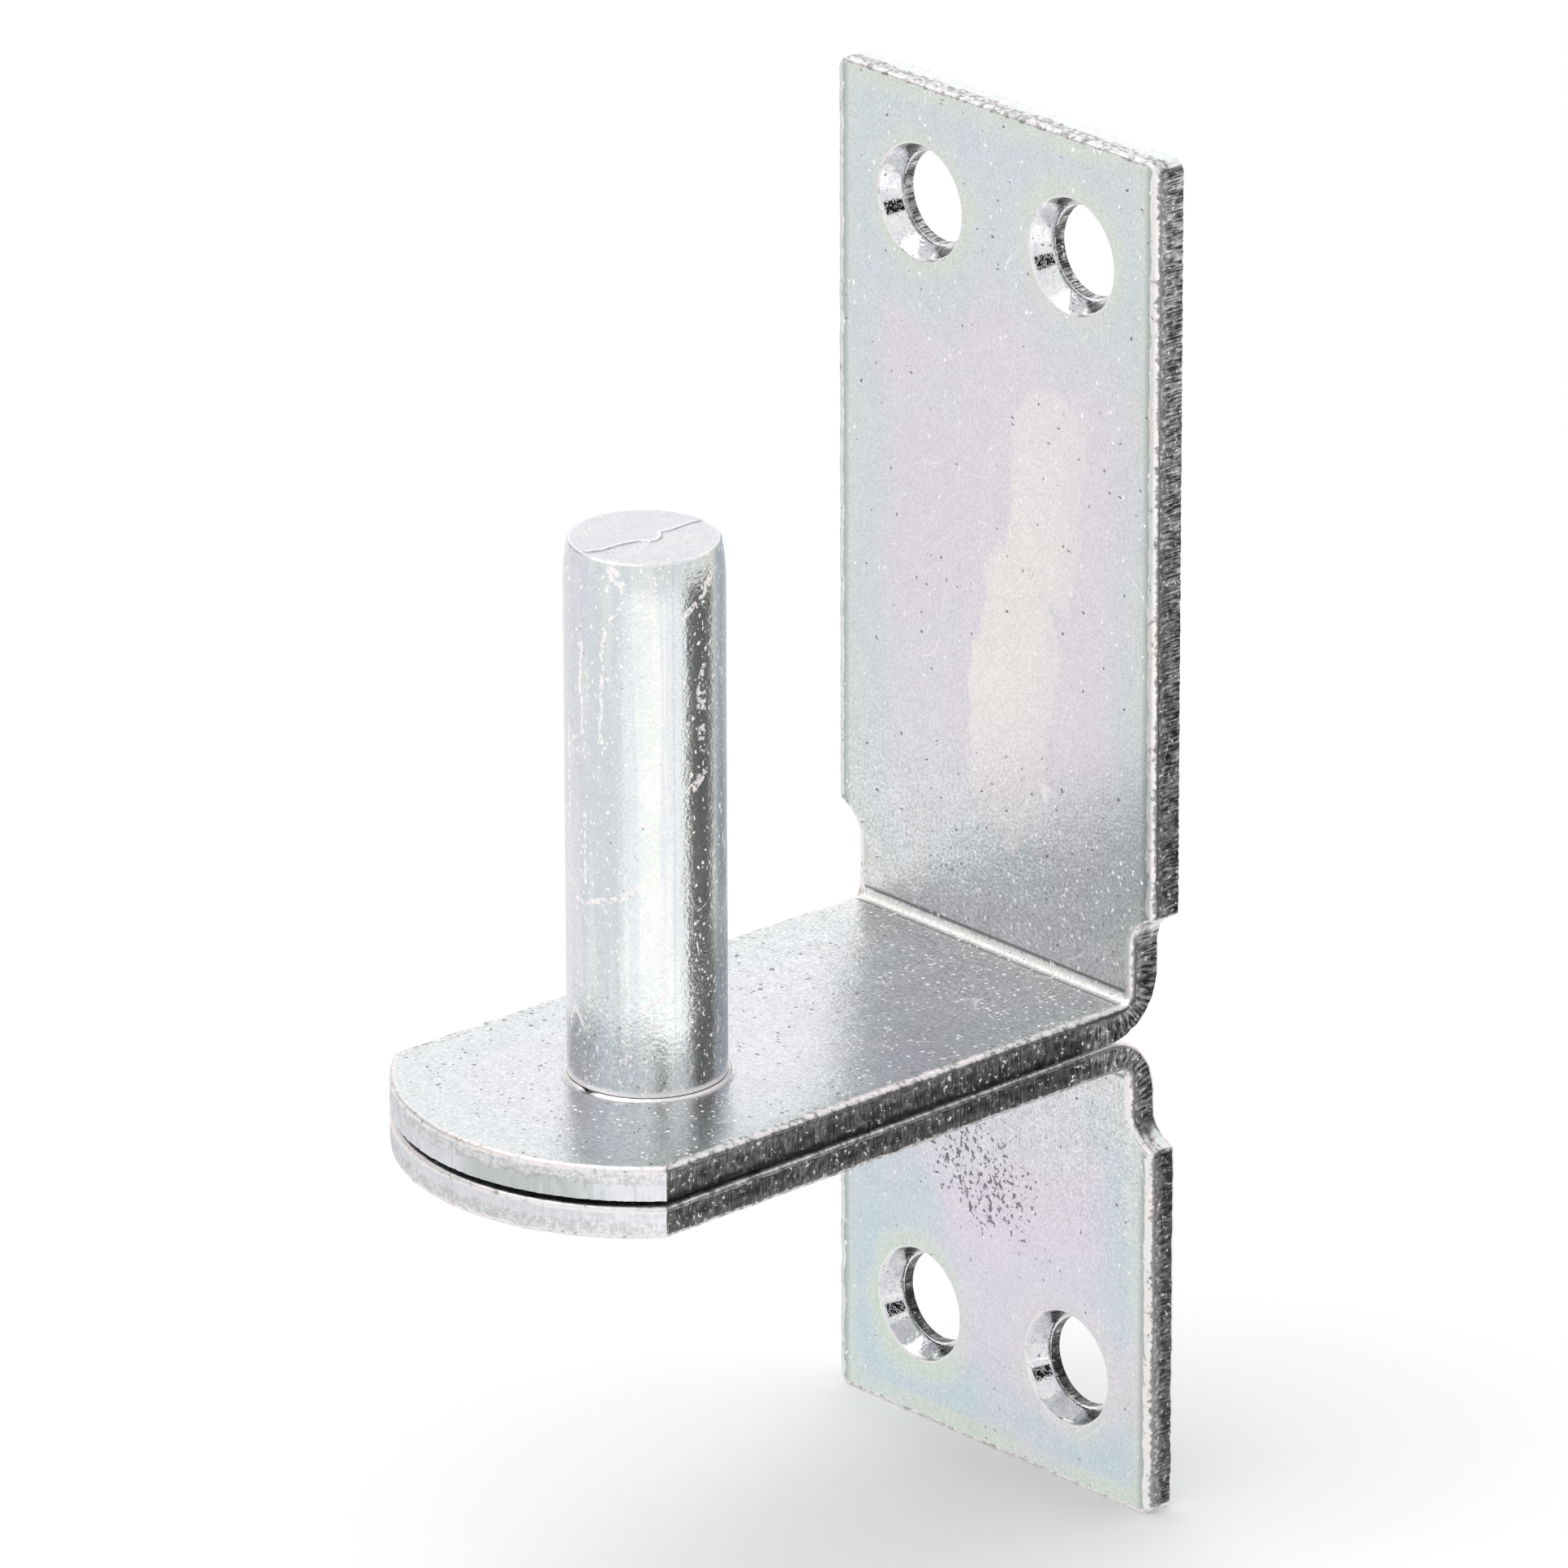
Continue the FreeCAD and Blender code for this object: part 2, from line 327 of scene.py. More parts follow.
class Fold:
    """A sheet folded to a leaf and a shelf. Along the flat sheet, the leaf ends and the bend begins at 0."""

    def __init__(self, way, leaf_length, neck_height, droop):
        self.way = way
        self.leaf_length = leaf_length
        self.shoulder = sheet + neck_height
        self.droop = droop
        hollow = self.bend(sheet, bend_inside_radius)
        outer = self.bend(0.0, bend_outside_radius)
        self.bend_length = run_lengths(hollow)[-1]
        shares = np.union1d(np.linspace(0, 1, bend_row_count), np.linspace(*crease_share, crease_row_count))
        self.bend_rows = shares * self.bend_length
        self.hollow_bend = along_path(hollow, self.bend_rows)
        self.outer_bend = along_path(outer, shares * run_lengths(outer)[-1])

    def bend(self, inset, radius):
        """The bend of one skin in section, forward of the mounting face and along the leaf."""
        corner = (inset, inset + self.droop * inset)
        end = (bend_zone, inset + self.droop * bend_zone)
        return filleted_path((inset, bend_zone), corner, end, radius)

    def off_bend(self, flat):
        """Distance of points from the middle of the bend, along the sheet."""
        return np.abs(flat[:, 1] - self.bend_length / 2)

    def on_leaf(self, level):
        """Distance along the sheet of a level on the leaf, counted from the seam."""
        return bend_zone - level

    def on_shelf(self, reach):
        """Distance along the sheet of a point on the shelf, counted from the mounting face."""
        return self.bend_length + reach - bend_zone

    def skin(self, along, bend, inset):
        """Forward reach and leaf level of points on one skin."""
        far = shelf_front + sheet
        high = self.leaf_length + sheet
        stations = np.concatenate([[self.on_leaf(high)], self.bend_rows, [self.on_shelf(far)]])
        reach = np.concatenate([[inset], bend[:, 0], [far]])
        level = np.concatenate([[high], bend[:, 1], [inset + self.droop * far]])
        return np.interp(along, stations, reach), np.interp(along, stations, level)

    def place(self, flat, depth):
        """Where points of the flat sheet come to lie, at a depth from the hollow skin."""
        share = np.broadcast_to(depth, len(flat)) / sheet
        hollow_reach, hollow_level = self.skin(flat[:, 1], self.hollow_bend, sheet)
        outer_reach, outer_level = self.skin(flat[:, 1], self.outer_bend, 0.0)
        reach = hollow_reach * (1 - share) + outer_reach * share
        level = hollow_level * (1 - share) + outer_level * share
        return np.column_stack([flat[:, 0], -reach, seam_level + self.way * level])

    def outline(self):
        """The punched outline of the flat sheet, from the middle of the nose round to the right."""
        right = np.concatenate([*self.nose_points(), *self.side_points(), *self.leaf_points()])
        left = right[-2:0:-1] * (-1, 1)
        return np.concatenate([right, left])

    def nose_points(self):
        """Half the nose and its corner, and where the corner's centre lies."""
        across = half_shelf - nose_corner_radius
        reach = pin_reach + math.sqrt((nose_radius - nose_corner_radius) ** 2 - across**2)
        upright = math.pi / 2
        turned = upright - math.asin(across / (nose_radius - nose_corner_radius))
        nose = arc_points((0, pin_reach), nose_radius, upright, turned, edge_step)
        corner = arc_points((across, reach), nose_corner_radius, turned, 0, edge_step / 2)
        self.side_start = self.on_shelf(reach)
        self.relief_centre = np.array([half_shelf + relief_radius, self.shoulder - relief_radius])
        for points in (nose, corner):
            points[:, 1] = self.on_shelf(points[:, 1])
        return nose, corner

    def side_points(self):
        """The shelf's side and the neck, with the rows of the bend."""
        neck_end = (half_shelf, self.on_leaf(self.relief_centre[1]))
        return (
            line_points((half_shelf, self.side_start), (half_shelf, self.bend_length), edge_step),
            np.column_stack([np.full(len(self.bend_rows), half_shelf), self.bend_rows[::-1]]),
            line_points((half_shelf, 0), neck_end, edge_step)[1:],
        )

    def leaf_points(self):
        """The relief notch with its shoulder, the leaf's side, its corner and half its end."""
        across = half_leaf - shoulder_radius - self.relief_centre[0]
        rise = math.sqrt((relief_radius + shoulder_radius) ** 2 - across**2)
        towards = math.atan2(rise, across)
        shoulder = self.relief_centre + np.array([across, rise])
        corner = (half_leaf - leaf_corner_radius, self.leaf_length - leaf_corner_radius)
        parts = (
            arc_points(self.relief_centre, relief_radius, math.pi, towards, edge_step),
            arc_points(shoulder, shoulder_radius, towards - math.pi, 0, edge_step / 2),
            line_points((half_leaf, shoulder[1]), (half_leaf, corner[1]), edge_step),
            arc_points(corner, leaf_corner_radius, 0, math.pi / 2, edge_step / 2),
            line_points((corner[0], self.leaf_length), (0, self.leaf_length), edge_step),
            np.array([(0.0, self.leaf_length)]),
        )
        for points in parts:
            points[:, 1] = self.on_leaf(points[:, 1])
        return parts


def inward_normals(outline):
    """Unit normals into the sheet of an outline that runs clockwise."""
    along = np.roll(outline, -1, axis=0) - np.roll(outline, 1, axis=0)
    inward = np.column_stack([along[:, 1], -along[:, 0]])
    return inward / np.linalg.norm(inward, axis=1)[:, None]


def ripple(runs, stretch, seed):
    """Smooth random values from -1 to 1 along an outline."""
    return np.array([noise.noise(Vector((run / stretch, seed, 0.0))) for run in runs])


def rough_noise(places, smoothness):
    """Values of a noise in some octaves at places."""
    return np.array([noise.fractal(Vector(place), smoothness, octave_ratio, octaves) for place in places])


def inside(points, ring):
    """Which points lie inside a closed ring."""
    ahead = np.roll(ring, -1, axis=0)
    hits = np.zeros(len(points), dtype=int)
    for (x1, y1), (x2, y2) in zip(ring, ahead):
        if y1 != y2:
            crosses = (y1 > points[:, 1]) != (y2 > points[:, 1])
            hits += crosses & (points[:, 0] < x1 + (points[:, 1] - y1) * (x2 - x1) / (y2 - y1))
    return hits % 2 == 1


def nearest(points, ring):
    """Distance of each point from the nearest point of a ring."""
    gaps = np.full(len(points), np.inf)
    for centre in ring:
        gaps = np.minimum(gaps, np.hypot(points[:, 0] - centre[0], points[:, 1] - centre[1]))
    return gaps


def closed_links(start, count):
    """Links round a closed row of numbers."""
    return [(start + k, start + (k + 1) % count) for k in range(count)]


def skin_grid(fold, ring, holes):
    """A grid of points on the leaf and the shelf, clear of the rim and the holes."""
    low = ring.min(axis=0)
    high = ring.max(axis=0)
    grid = []
    for row, along in enumerate(np.arange(low[1], high[1], skin_step)):
        if along < 0 or along > fold.bend_length:
            start = low[0] + (row % 2) * skin_step / 2
            grid.extend((across, along) for across in np.arange(start, high[0], skin_step))
    grid = np.array(grid)
    clear = inside(grid, ring) & (nearest(grid, ring) > skin_step / 2)
    for hole in holes:
        clear &= ~inside(grid, hole) & (nearest(grid, hole) > skin_step / 3)
    return grid[clear]


def lay_skin(shell, fold, depth, ring, ring_numbers, holes, hole_numbers):
    """Fills one skin between its rim and its holes."""
    grid = skin_grid(fold, ring, holes)
    columns = np.arange(-half_shelf + skin_step, half_shelf - skin_step / 2, skin_step)
    rows = np.array([(across, along) for along in fold.bend_rows for across in columns])
    loose = np.concatenate([grid, rows])
    to_screws = [nearest(loose, hole) for hole in holes[:2]]
    to_hole = np.minimum.reduce([np.full(len(loose), no_hole)] + to_screws)
    marks = {"edge": nearest(loose, ring), "hole": to_hole, "bend": fold.off_bend(loose), "depth": depth}
    numbers = sum(hole_numbers, list(ring_numbers))
    numbers += shell.add(fold.place(loose, depth), **marks, run=0.0, side=0.0)

    links = []
    start = 0
    for loop in [ring] + holes:
        links += closed_links(start, len(loop))
        start += len(loop)
    start += len(grid)
    sides = [k for k in range(len(ring)) if abs(abs(ring[k, 0]) - half_shelf) < skin_step]
    for row, along in enumerate(fold.bend_rows):
        chain = [start + row * len(columns) + k for k in range(len(columns))]
        level = [k for k in sides if abs(ring[k, 1] - along) < touching]
        chain = [k for k in level if ring[k, 0] < 0] + chain + [k for k in level if ring[k, 0] > 0]
        links += list(zip(chain, chain[1:]))
    flat = [Vector(point) for point in np.concatenate([ring] + holes + [loose])]
    points, _, faces, sources = delaunay_2d_cdt(flat, links, [], 0, smallest_gap)[:4]
    source = [numbers[origin[0]] if origin else None for origin in sources]
    middles = np.array([[points[k] for k in face] for face in faces]).mean(axis=1)
    keep = inside(middles, ring)
    for hole in holes:
        keep &= ~inside(middles, hole)
    shell.fill([[source[k] for k in face] for face, kept in zip(faces, keep) if kept], SKIN)


def rim_rows(shell, fold, outline, roll_both, seed):
    """The punched rim: rolled over at the hollow skin, torn through the sheet. Gives both skins' rings."""
    inward = inward_normals(outline)
    runs = run_lengths(outline)
    side = np.abs(inward[:, 0])
    waves = ripple(runs, rim_wave_length, seed)
    nicks = ripple(runs, rim_nick_length, seed + nick_seed_shift)
    uneven = 1 + rim_wave * waves + rim_nick * nicks
    width = (end_roll_width + (side_roll_width - end_roll_width) * side**4) * uneven
    fall = roll_depth * uneven
    marks = {"hole": no_hole, "bend": fold.off_bend(outline), "run": runs, "side": side}

    def row(inset, depth, edge):
        flat = outline + inward * np.reshape(inset, (-1, 1))
        return flat, shell.add(fold.place(flat, depth), edge=edge, depth=depth, **marks)

    angles = np.linspace(0, math.pi / 2, roll_steps + 1)
    hollow_flat, hollow_row = row(width, np.zeros(len(outline)), width)
    last = hollow_row
    for angle in angles[1:]:
        inset = width * (1 - math.sin(angle))
        following = row(inset, fall * (1 - math.cos(angle)), inset)[1]
        shell.band(last, following, ROLL)
        last = following
    wall_end = sheet - fall * roll_both
    for step in range(1, wall_steps + 1):
        share = step / wall_steps
        depth = fall + (wall_end - fall) * share
        outer_flat, following = row(torn_inset(runs, depth, share, roll_both, seed), depth, 0.0)
        shell.band(last, following, WALL)
        last = following
    if roll_both:
        for angle in angles[::-1][1:]:
            inset = width * (1 - math.sin(angle))
            outer_flat, following = row(inset, sheet - fall * (1 - math.cos(angle)), inset)
            shell.band(last, following, ROLL)
            last = following
    return hollow_flat, hollow_row, outer_flat, last


def torn_inset(runs, depth, share, roll_both, seed):
    """How far the punched wall is torn back, starting below its roll and ending above a second one."""
    places = [(run / tear_length, level / tear_height, seed) for run, level in zip(runs, depth)]
    torn = rough_noise(places, tear_smoothness)
    inset = tear_depth * np.clip(tear_bias + torn, 0, deepest_tear) * min(1.0, tear_start * share)
    return inset * min(1.0, tear_stop * (1 - share)) if roll_both else inset


def round_rows(shell, fold, centre, section, finishes, halo):
    """Rings of a round hole from its section of radius and depth. Gives the rings of both skins."""
    rings = []
    for radius, depth in section:
        flat = circle_points(centre, radius, hole_sides)
        run = radius * 2 * math.pi * np.arange(hole_sides) / hole_sides
        marks = {"edge": no_edge, "hole": halo, "bend": fold.off_bend(flat), "run": run, "side": hole_side}
        rings.append((flat, shell.add(fold.place(flat, depth), depth=depth, **marks)))
    for (_, first), (_, second), finish in zip(rings, rings[1:], finishes):
        shell.band(first, second, finish)
    return rings[0], rings[-1]


def countersink_section():
    """Section of a countersunk screw hole from its mouth: lip, cone and land."""
    lip = countersink_lip
    section = [(countersink_radius + lip, 0.0)]
    section.append((countersink_radius + lip_brow[0] * lip, lip_brow[1] * lip))
    cone_radius = countersink_radius + lip_foot[0] * lip
    cone_mouth = lip_foot[1] * lip
    for step in range(cone_steps + 1):
        share = step / cone_steps
        radius = cone_radius + (hole_radius - cone_radius) * share
        section.append((radius, cone_mouth + (countersink_depth - cone_mouth) * share))
    for step in range(1, land_steps + 1):
        section.append((hole_radius, countersink_depth + (sheet - countersink_depth) * step / land_steps))
    return section, [ROLL] * 2 + [CONE] * cone_steps + [WALL] * land_steps


def seat_section():
    """Section of the pressed seat: its lip, the bead squeezed up round the pin, then the tenon's hole."""
    turn = math.acos(1 - seat_depth / seat_lip_radius)
    rim_radius = pin_radius + seat_clearance + seat_lip_radius * math.sin(turn)
    angles = np.degrees(2 * math.pi * np.arange(hole_sides) / hole_sides)
    waves = ripple(angles, bead_wave_degrees, bead_wave_seed)
    uneven = waves + bead_nick * ripple(angles, bead_nick_degrees, bead_nick_seed)
    pit = np.exp(-(((angles - bead_pit_angle) / bead_pit_width) ** 2))
    crest = -bead_height + bead_height * (1 + uneven) / 2 + bead_pit_depth * pit
    section = []
    for step in range(lip_steps + 1):
        angle = turn * seat_lip_share * step / lip_steps
        fall = seat_lip_radius * (1 - math.cos(angle))
        section.append((rim_radius - seat_lip_radius * math.sin(angle), fall))
    valley = section[-1][1]
    section += [
        (pin_radius + bead_foot, valley + bead_dip),
        (pin_radius + bead_flank, (valley + crest) / 2),
        (pin_radius + bead_brow, crest),
        (pin_radius + bead_inside, crest),
        (pin_radius - bead_lean, crest + bead_height),
        (pin_radius + bead_lean, seat_depth),
        (tenon_hole_radius, seat_depth),
        (tenon_hole_radius, sheet),
    ]
    return section, [SKIN] * (lip_steps + 1) + [ROLL] * 4 + [WALL] * 3


def plate(name, fold, hole_level, bore, roll_both, seed, finishes):
    """One folded plate with its rim, two countersunk screw holes and the bore in its shelf."""
    shell = Shell()
    hollow_flat, hollow_row, outer_flat, outer_row = rim_rows(shell, fold, fold.outline(), roll_both, seed)
    along = fold.on_leaf(hole_level)
    cuts = [((side * hole_pitch / 2, along), countersink_section(), 0.0) for side in (-1, 1)]
    cuts.append(((0.0, fold.on_shelf(pin_reach)), bore, no_hole))
    rings = [round_rows(shell, fold, centre, *section, halo) for centre, section, halo in cuts]
    hollow_holes, outer_holes = zip(*rings)
    for depth, ring, row, holes in (
        (0.0, hollow_flat, hollow_row, hollow_holes),
        (sheet, outer_flat, outer_row, outer_holes),
    ):
        lay_skin(shell, fold, depth, ring, row, [hole[0] for hole in holes], [hole[1] for hole in holes])
    return shell.object(name, finishes)


def build_plates(finishes):
    upper = Fold(UP, upper_leaf_end - seam_level, upper_neck_height, 0.0)
    lower = Fold(DOWN, seam_level - lower_leaf_end, lower_neck_height, seam_opening / shelf_front)
    upper_row = hole_row - seam_level
    lower_row = seam_level + hole_row
    tenon_bore = ([(tenon_hole_radius, 0.0), (tenon_hole_radius, sheet)], [WALL])
    return [
        plate("folded_upper_plate", upper, upper_row, seat_section(), False, upper_seed, finishes),
        plate("folded_lower_plate", lower, lower_row, tenon_bore, True, lower_seed, finishes),
    ]


class Value:
    """A number, place or colour in a node tree, reckoned with as a plain number is."""

    def __init__(self, graph, socket):
        self.graph = graph
        self.socket = socket

    def __add__(self, other):
        return self.graph.math("ADD", self, other)

    def __sub__(self, other):
        return self.graph.math("SUBTRACT", self, other)

    def __rsub__(self, other):
        return self.graph.math("SUBTRACT", other, self)

    def __mul__(self, other):
        return self.graph.math("MULTIPLY", self, other)

    def __truediv__(self, other):
        return self.graph.math("DIVIDE", self, other)

    def __abs__(self):
        return self.graph.math("ABSOLUTE", self)

    __radd__ = __add__
    __rmul__ = __mul__


class Graph:
    """Builds the nodes of one material or group."""

    def __init__(self, tree):
        self.tree = tree

    def feed(self, socket, value):
        if isinstance(value, Value):
            self.tree.links.new(value.socket, socket)
        elif socket.type == "RGBA":
            socket.default_value = (*value, 1.0)
        else:
            socket.default_value = value

    def node(self, kind, output, inputs=None, **settings):
        """An output of a new node, or a list of them where several are named."""
        made = self.tree.nodes.new(kind)
        for name, value in settings.items():
            setattr(made, name, value)
        for name, value in (inputs or {}).items():
            self.feed(made.inputs[name], value)
        if isinstance(output, tuple):
            return [Value(self, made.outputs[name]) for name in output]
        return Value(self, made.outputs[output])

    def math(self, operation, *values):
        """Arithmetic on numbers, or on places and colours where one is among the values."""
        if any(isinstance(value, Value) and value.socket.type in ("VECTOR", "RGBA") for value in values):
            threes = [(value,) * 3 if isinstance(value, float) else value for value in values]
            return self.node("ShaderNodeVectorMath", "Vector", dict(enumerate(threes)), operation=operation)
        return self.node("ShaderNodeMath", "Value", dict(enumerate(values)), operation=operation)

    def dot(self, first, second):
        return self.node("ShaderNodeVectorMath", "Value", {0: first, 1: second}, operation="DOT_PRODUCT")

    def length(self, place):
        return self.node("ShaderNodeVectorMath", "Value", {0: place}, operation="LENGTH")

    def step(self, value, none, full):
        """0 at none and past it, 1 at full and past it, smooth between."""
        inputs = {"Value": value, "From Min": none, "From Max": full}
        return self.node("ShaderNodeMapRange", "Result", inputs, interpolation_type="SMOOTHSTEP")

    def blend(self, share, first, second, way="MIX"):
        """One colour into another."""
        inputs = {0: share, 6: first, 7: second}
        return self.node("ShaderNodeMix", 2, inputs, data_type="RGBA", blend_type=way)

    def shade(self, tint, factor):
        """A colour made lighter or darker by a factor about 1."""
        return self.blend(1.0, tint, factor, "MULTIPLY")

    def coats(self, tint, *layers):
        """Colours laid over a tint one by one, each with its mask and its weight."""
        for mask, weight, tone in layers:
            tint = self.blend(mask * weight, tint, tone)
        return tint

    def noise(self, place, scale, detail=2.0, roughness=0.5, distortion=0.0):
        inputs = {"Vector": place, "Scale": scale, "Detail": detail, "Roughness": roughness}
        return self.node("ShaderNodeTexNoise", "Fac", {**inputs, "Distortion": distortion})

    def drift(self, place, scale, detail):
        """A noise in each direction, from about -0.5 to 0.5."""
        inputs = {"Vector": place, "Scale": scale, "Detail": detail}
        return self.node("ShaderNodeTexNoise", "Color", inputs) - 0.5

    def stretched(self, place, height):
        """A place squeezed upright, so that what is drawn on it comes out taller."""
        return self.node("ShaderNodeMapping", "Vector", {"Vector": place, "Scale": (1.0, 1.0, height)})

    def most(self, *values):
        """The greatest of some masks."""
        result = values[0]
        for value in values[1:]:
            result = self.math("MAXIMUM", result, value)
        return result

    def parts(self, place):
        return self.node("ShaderNodeSeparateXYZ", ("X", "Y", "Z"), {0: place})

    def joined(self, x=0.0, y=0.0, z=0.0):
        return self.node("ShaderNodeCombineXYZ", "Vector", {0: x, 1: y, 2: z})

    def mark(self, name):
        return self.node("ShaderNodeAttribute", "Fac", attribute_name=name)

    def place(self):
        return self.node("ShaderNodeTexCoord", "Object")

    def use(self, group, output, **inputs):
        """Outputs of a group, its inputs given with low lines for spaces and small first letters."""
        named = {name.capitalize().replace("_", " "): value for name, value in inputs.items()}
        return self.node("ShaderNodeGroup", output, named, node_tree=group)


def grey(level):
    return (level, level, level)


def new_group(name, inputs, outputs, kind="ShaderNodeTree"):
    """An empty node group with named sockets: its tree, its graph, what it is given and its results."""
    tree = bpy.data.node_groups.new(name, kind)
    for way, sockets in (("INPUT", inputs), ("OUTPUT", outputs)):
        for socket, sort in sockets.items():
            tree.interface.new_socket(socket, in_out=way, socket_type="NodeSocket" + sort)
    graph = Graph(tree)
    given = dict(zip(inputs, graph.node("NodeGroupInput", tuple(inputs))))
    return tree, graph, given, tree.nodes.new("NodeGroupOutput").inputs


# The line along which the bar's end was sheared, to the camera's right and away from it
shear_line = np.array(
    [(-9.0, -6.6), (-5.4, -4.1), (-3.9, -3.6), (-3.0, -2.7), (-1.8, -1.8), (-0.6, -1.1)]
    + [(0.6, -1.3), (1.35, -0.9), (1.75, 0.0), (1.75, 0.8), (1.55, 1.3)]
    + [(2.8, 2.1), (3.8, 3.1), (4.6, 3.9), (5.4, 4.4), (9.0, 6.4)]
)
shear_turn = math.radians(48)


def shear_place():
    """The shear line in the plates' own directions, about the pin's axis."""
    right = np.array([math.cos(shear_turn), math.sin(shear_turn)])
    away = np.array([-math.sin(shear_turn), math.cos(shear_turn)])
    return shear_line[:, :1] * right + shear_line[:, 1:] * away


def beyond_shear(points):
    """Signed distance of points from the shear line, positive on its far side."""
    line = shear_place()
    best = np.full(len(points), np.inf)
    signed = np.zeros(len(points))
    for start, end in zip(line, line[1:]):
        run = end - start
        share = np.clip(((points - start) @ run) / (run @ run), 0, 1)
        gap = points - start - share[:, None] * run
        distance = np.hypot(gap[:, 0], gap[:, 1])
        side = np.sign(run[0] * gap[:, 1] - run[1] * gap[:, 0])
        closer = distance < best - closer_by
        signed = np.where(closer, side * distance, signed)
        best = np.minimum(best, distance)
    return signed


def end_height(points):
    """Height of the sheared end about the pin's axis, 0 at the top of its step but for the grain."""
    step = end_step_height * (np.clip(beyond_shear(points) / end_step_width, -0.5, 0.5) - 0.5)
    places = [(x / end_grain_size, y / end_grain_size, end_grain_seed) for x, y in points]
    return step + end_grain_height * (rough_noise(places, end_grain_smoothness) - end_grain_middle)


def pin_section():
    """Radius and level of the pin from its riveted end up to the crown."""
    shoulder = shelf_top - seat_depth
    crown_foot = pin_top - pin_crown_height
    crown_radius = (pin_crown_width**2 + pin_crown_height**2) / (2 * pin_crown_width)
    rivet_level = pin_foot + rivet_head_height
    section = [(0.0, pin_foot), (rivet_face_radius / 2, pin_foot), (rivet_face_radius, pin_foot)]
    section += [(rivet_head_radius, rivet_level), (tenon_radius, rivet_level)]
    section += [(tenon_radius, shoulder), (pin_radius - pin_foot_bevel, shoulder)]
    for level in np.linspace(shoulder + pin_foot_bevel, crown_foot, pin_rows):
        section.append((pin_radius, level))
    for level in np.linspace(crown_foot, pin_top - pin_rim_radius, crown_rows)[1:]:
        sink = crown_radius - math.sqrt(crown_radius**2 - (level - crown_foot) ** 2)
        section.append((pin_radius - sink, level))
    return section


def spin_tree():
    """Spins a section round an upright axis, with shallow knocks in what stands above a level."""
    inputs = {"Section": "Geometry", "Sides": "Int", "Axis": "Vector", "Finish": "Material"}
    for name in ("Knock depth", "Knocks per metre", "Knocks above", "Knock seed"):
        inputs[name] = "Float"
    tree, graph, given, result = new_group("spun section", inputs, {"Spun": "Geometry"}, "GeometryNodeTree")
    section = given["Section"]
    sides = given["Sides"]
    rows = graph.node("GeometryNodeAttributeDomainSize", "Point Count", {"Geometry": section})
    net = graph.node("GeometryNodeMeshGrid", "Mesh", {"Vertices X": sides + 1.0, "Vertices Y": rows})
    number = graph.node("GeometryNodeInputIndex", "Index")
    turn = graph.math("FLOOR", number / rows) * (2 * math.pi) / sides
    point = {"Geometry": section, "Value": graph.node("GeometryNodeInputPosition", "Position")}
    point["Index"] = graph.math("MODULO", number, rows)
    sampled = graph.node("GeometryNodeSampleIndex", "Value", point, data_type="FLOAT_VECTOR")
    radius, _, level = graph.parts(sampled)
    outward = graph.joined(graph.math("COSINE", turn), graph.math("SINE", turn))
    spot = outward * radius + graph.joined(z=level * knock_stretch)
    dents = {"Vector": spot, "W": given["Knock seed"], "Scale": given["Knocks per metre"], "Detail": 0.0}
    dent = graph.node("ShaderNodeTexNoise", "Fac", dents, noise_dimensions="4D")
    dent = dent * graph.math("GREATER_THAN", level, given["Knocks above"])
    ring = outward * (radius - dent * given["Knock depth"])
    moved = {"Geometry": net, "Position": ring + graph.joined(z=level) + given["Axis"]}
    spun_net = graph.node("GeometryNodeSetPosition", "Geometry", moved)
    closing = {"Geometry": spun_net, "Distance": touching}
    closed = graph.node("GeometryNodeMergeByDistance", "Geometry", closing)
    realized = graph.node("GeometryNodeRealizeInstances", "Geometry", {"Geometry": closed})
    dressing = {"Geometry": realized, "Material": given["Finish"]}
    graph.feed(result["Spun"], graph.node("GeometryNodeSetMaterial", "Geometry", dressing))
    return tree


def spun(section, sizes):
    """The plain mesh that the tree spins from a section of radius and level."""
    mesh = bpy.data.meshes.new("pin section")
    mesh.from_pydata([(radius * MM, 0.0, level * MM) for radius, level in section], [], [])
    holder = linked(bpy.data.objects.new("pin section", mesh))
    modifier = holder.modifiers.new("spun section", "NODES")
    modifier.node_group = spin_tree()
    for socket in modifier.node_group.interface.items_tree:
        if socket.name in sizes:
            modifier[socket.identifier] = sizes[socket.name]
    made = bpy.data.meshes.new_from_object(holder.evaluated_get(bpy.context.evaluated_depsgraph_get()))
    holder.modifiers.remove(modifier)
    bpy.data.objects.remove(holder)
    return made


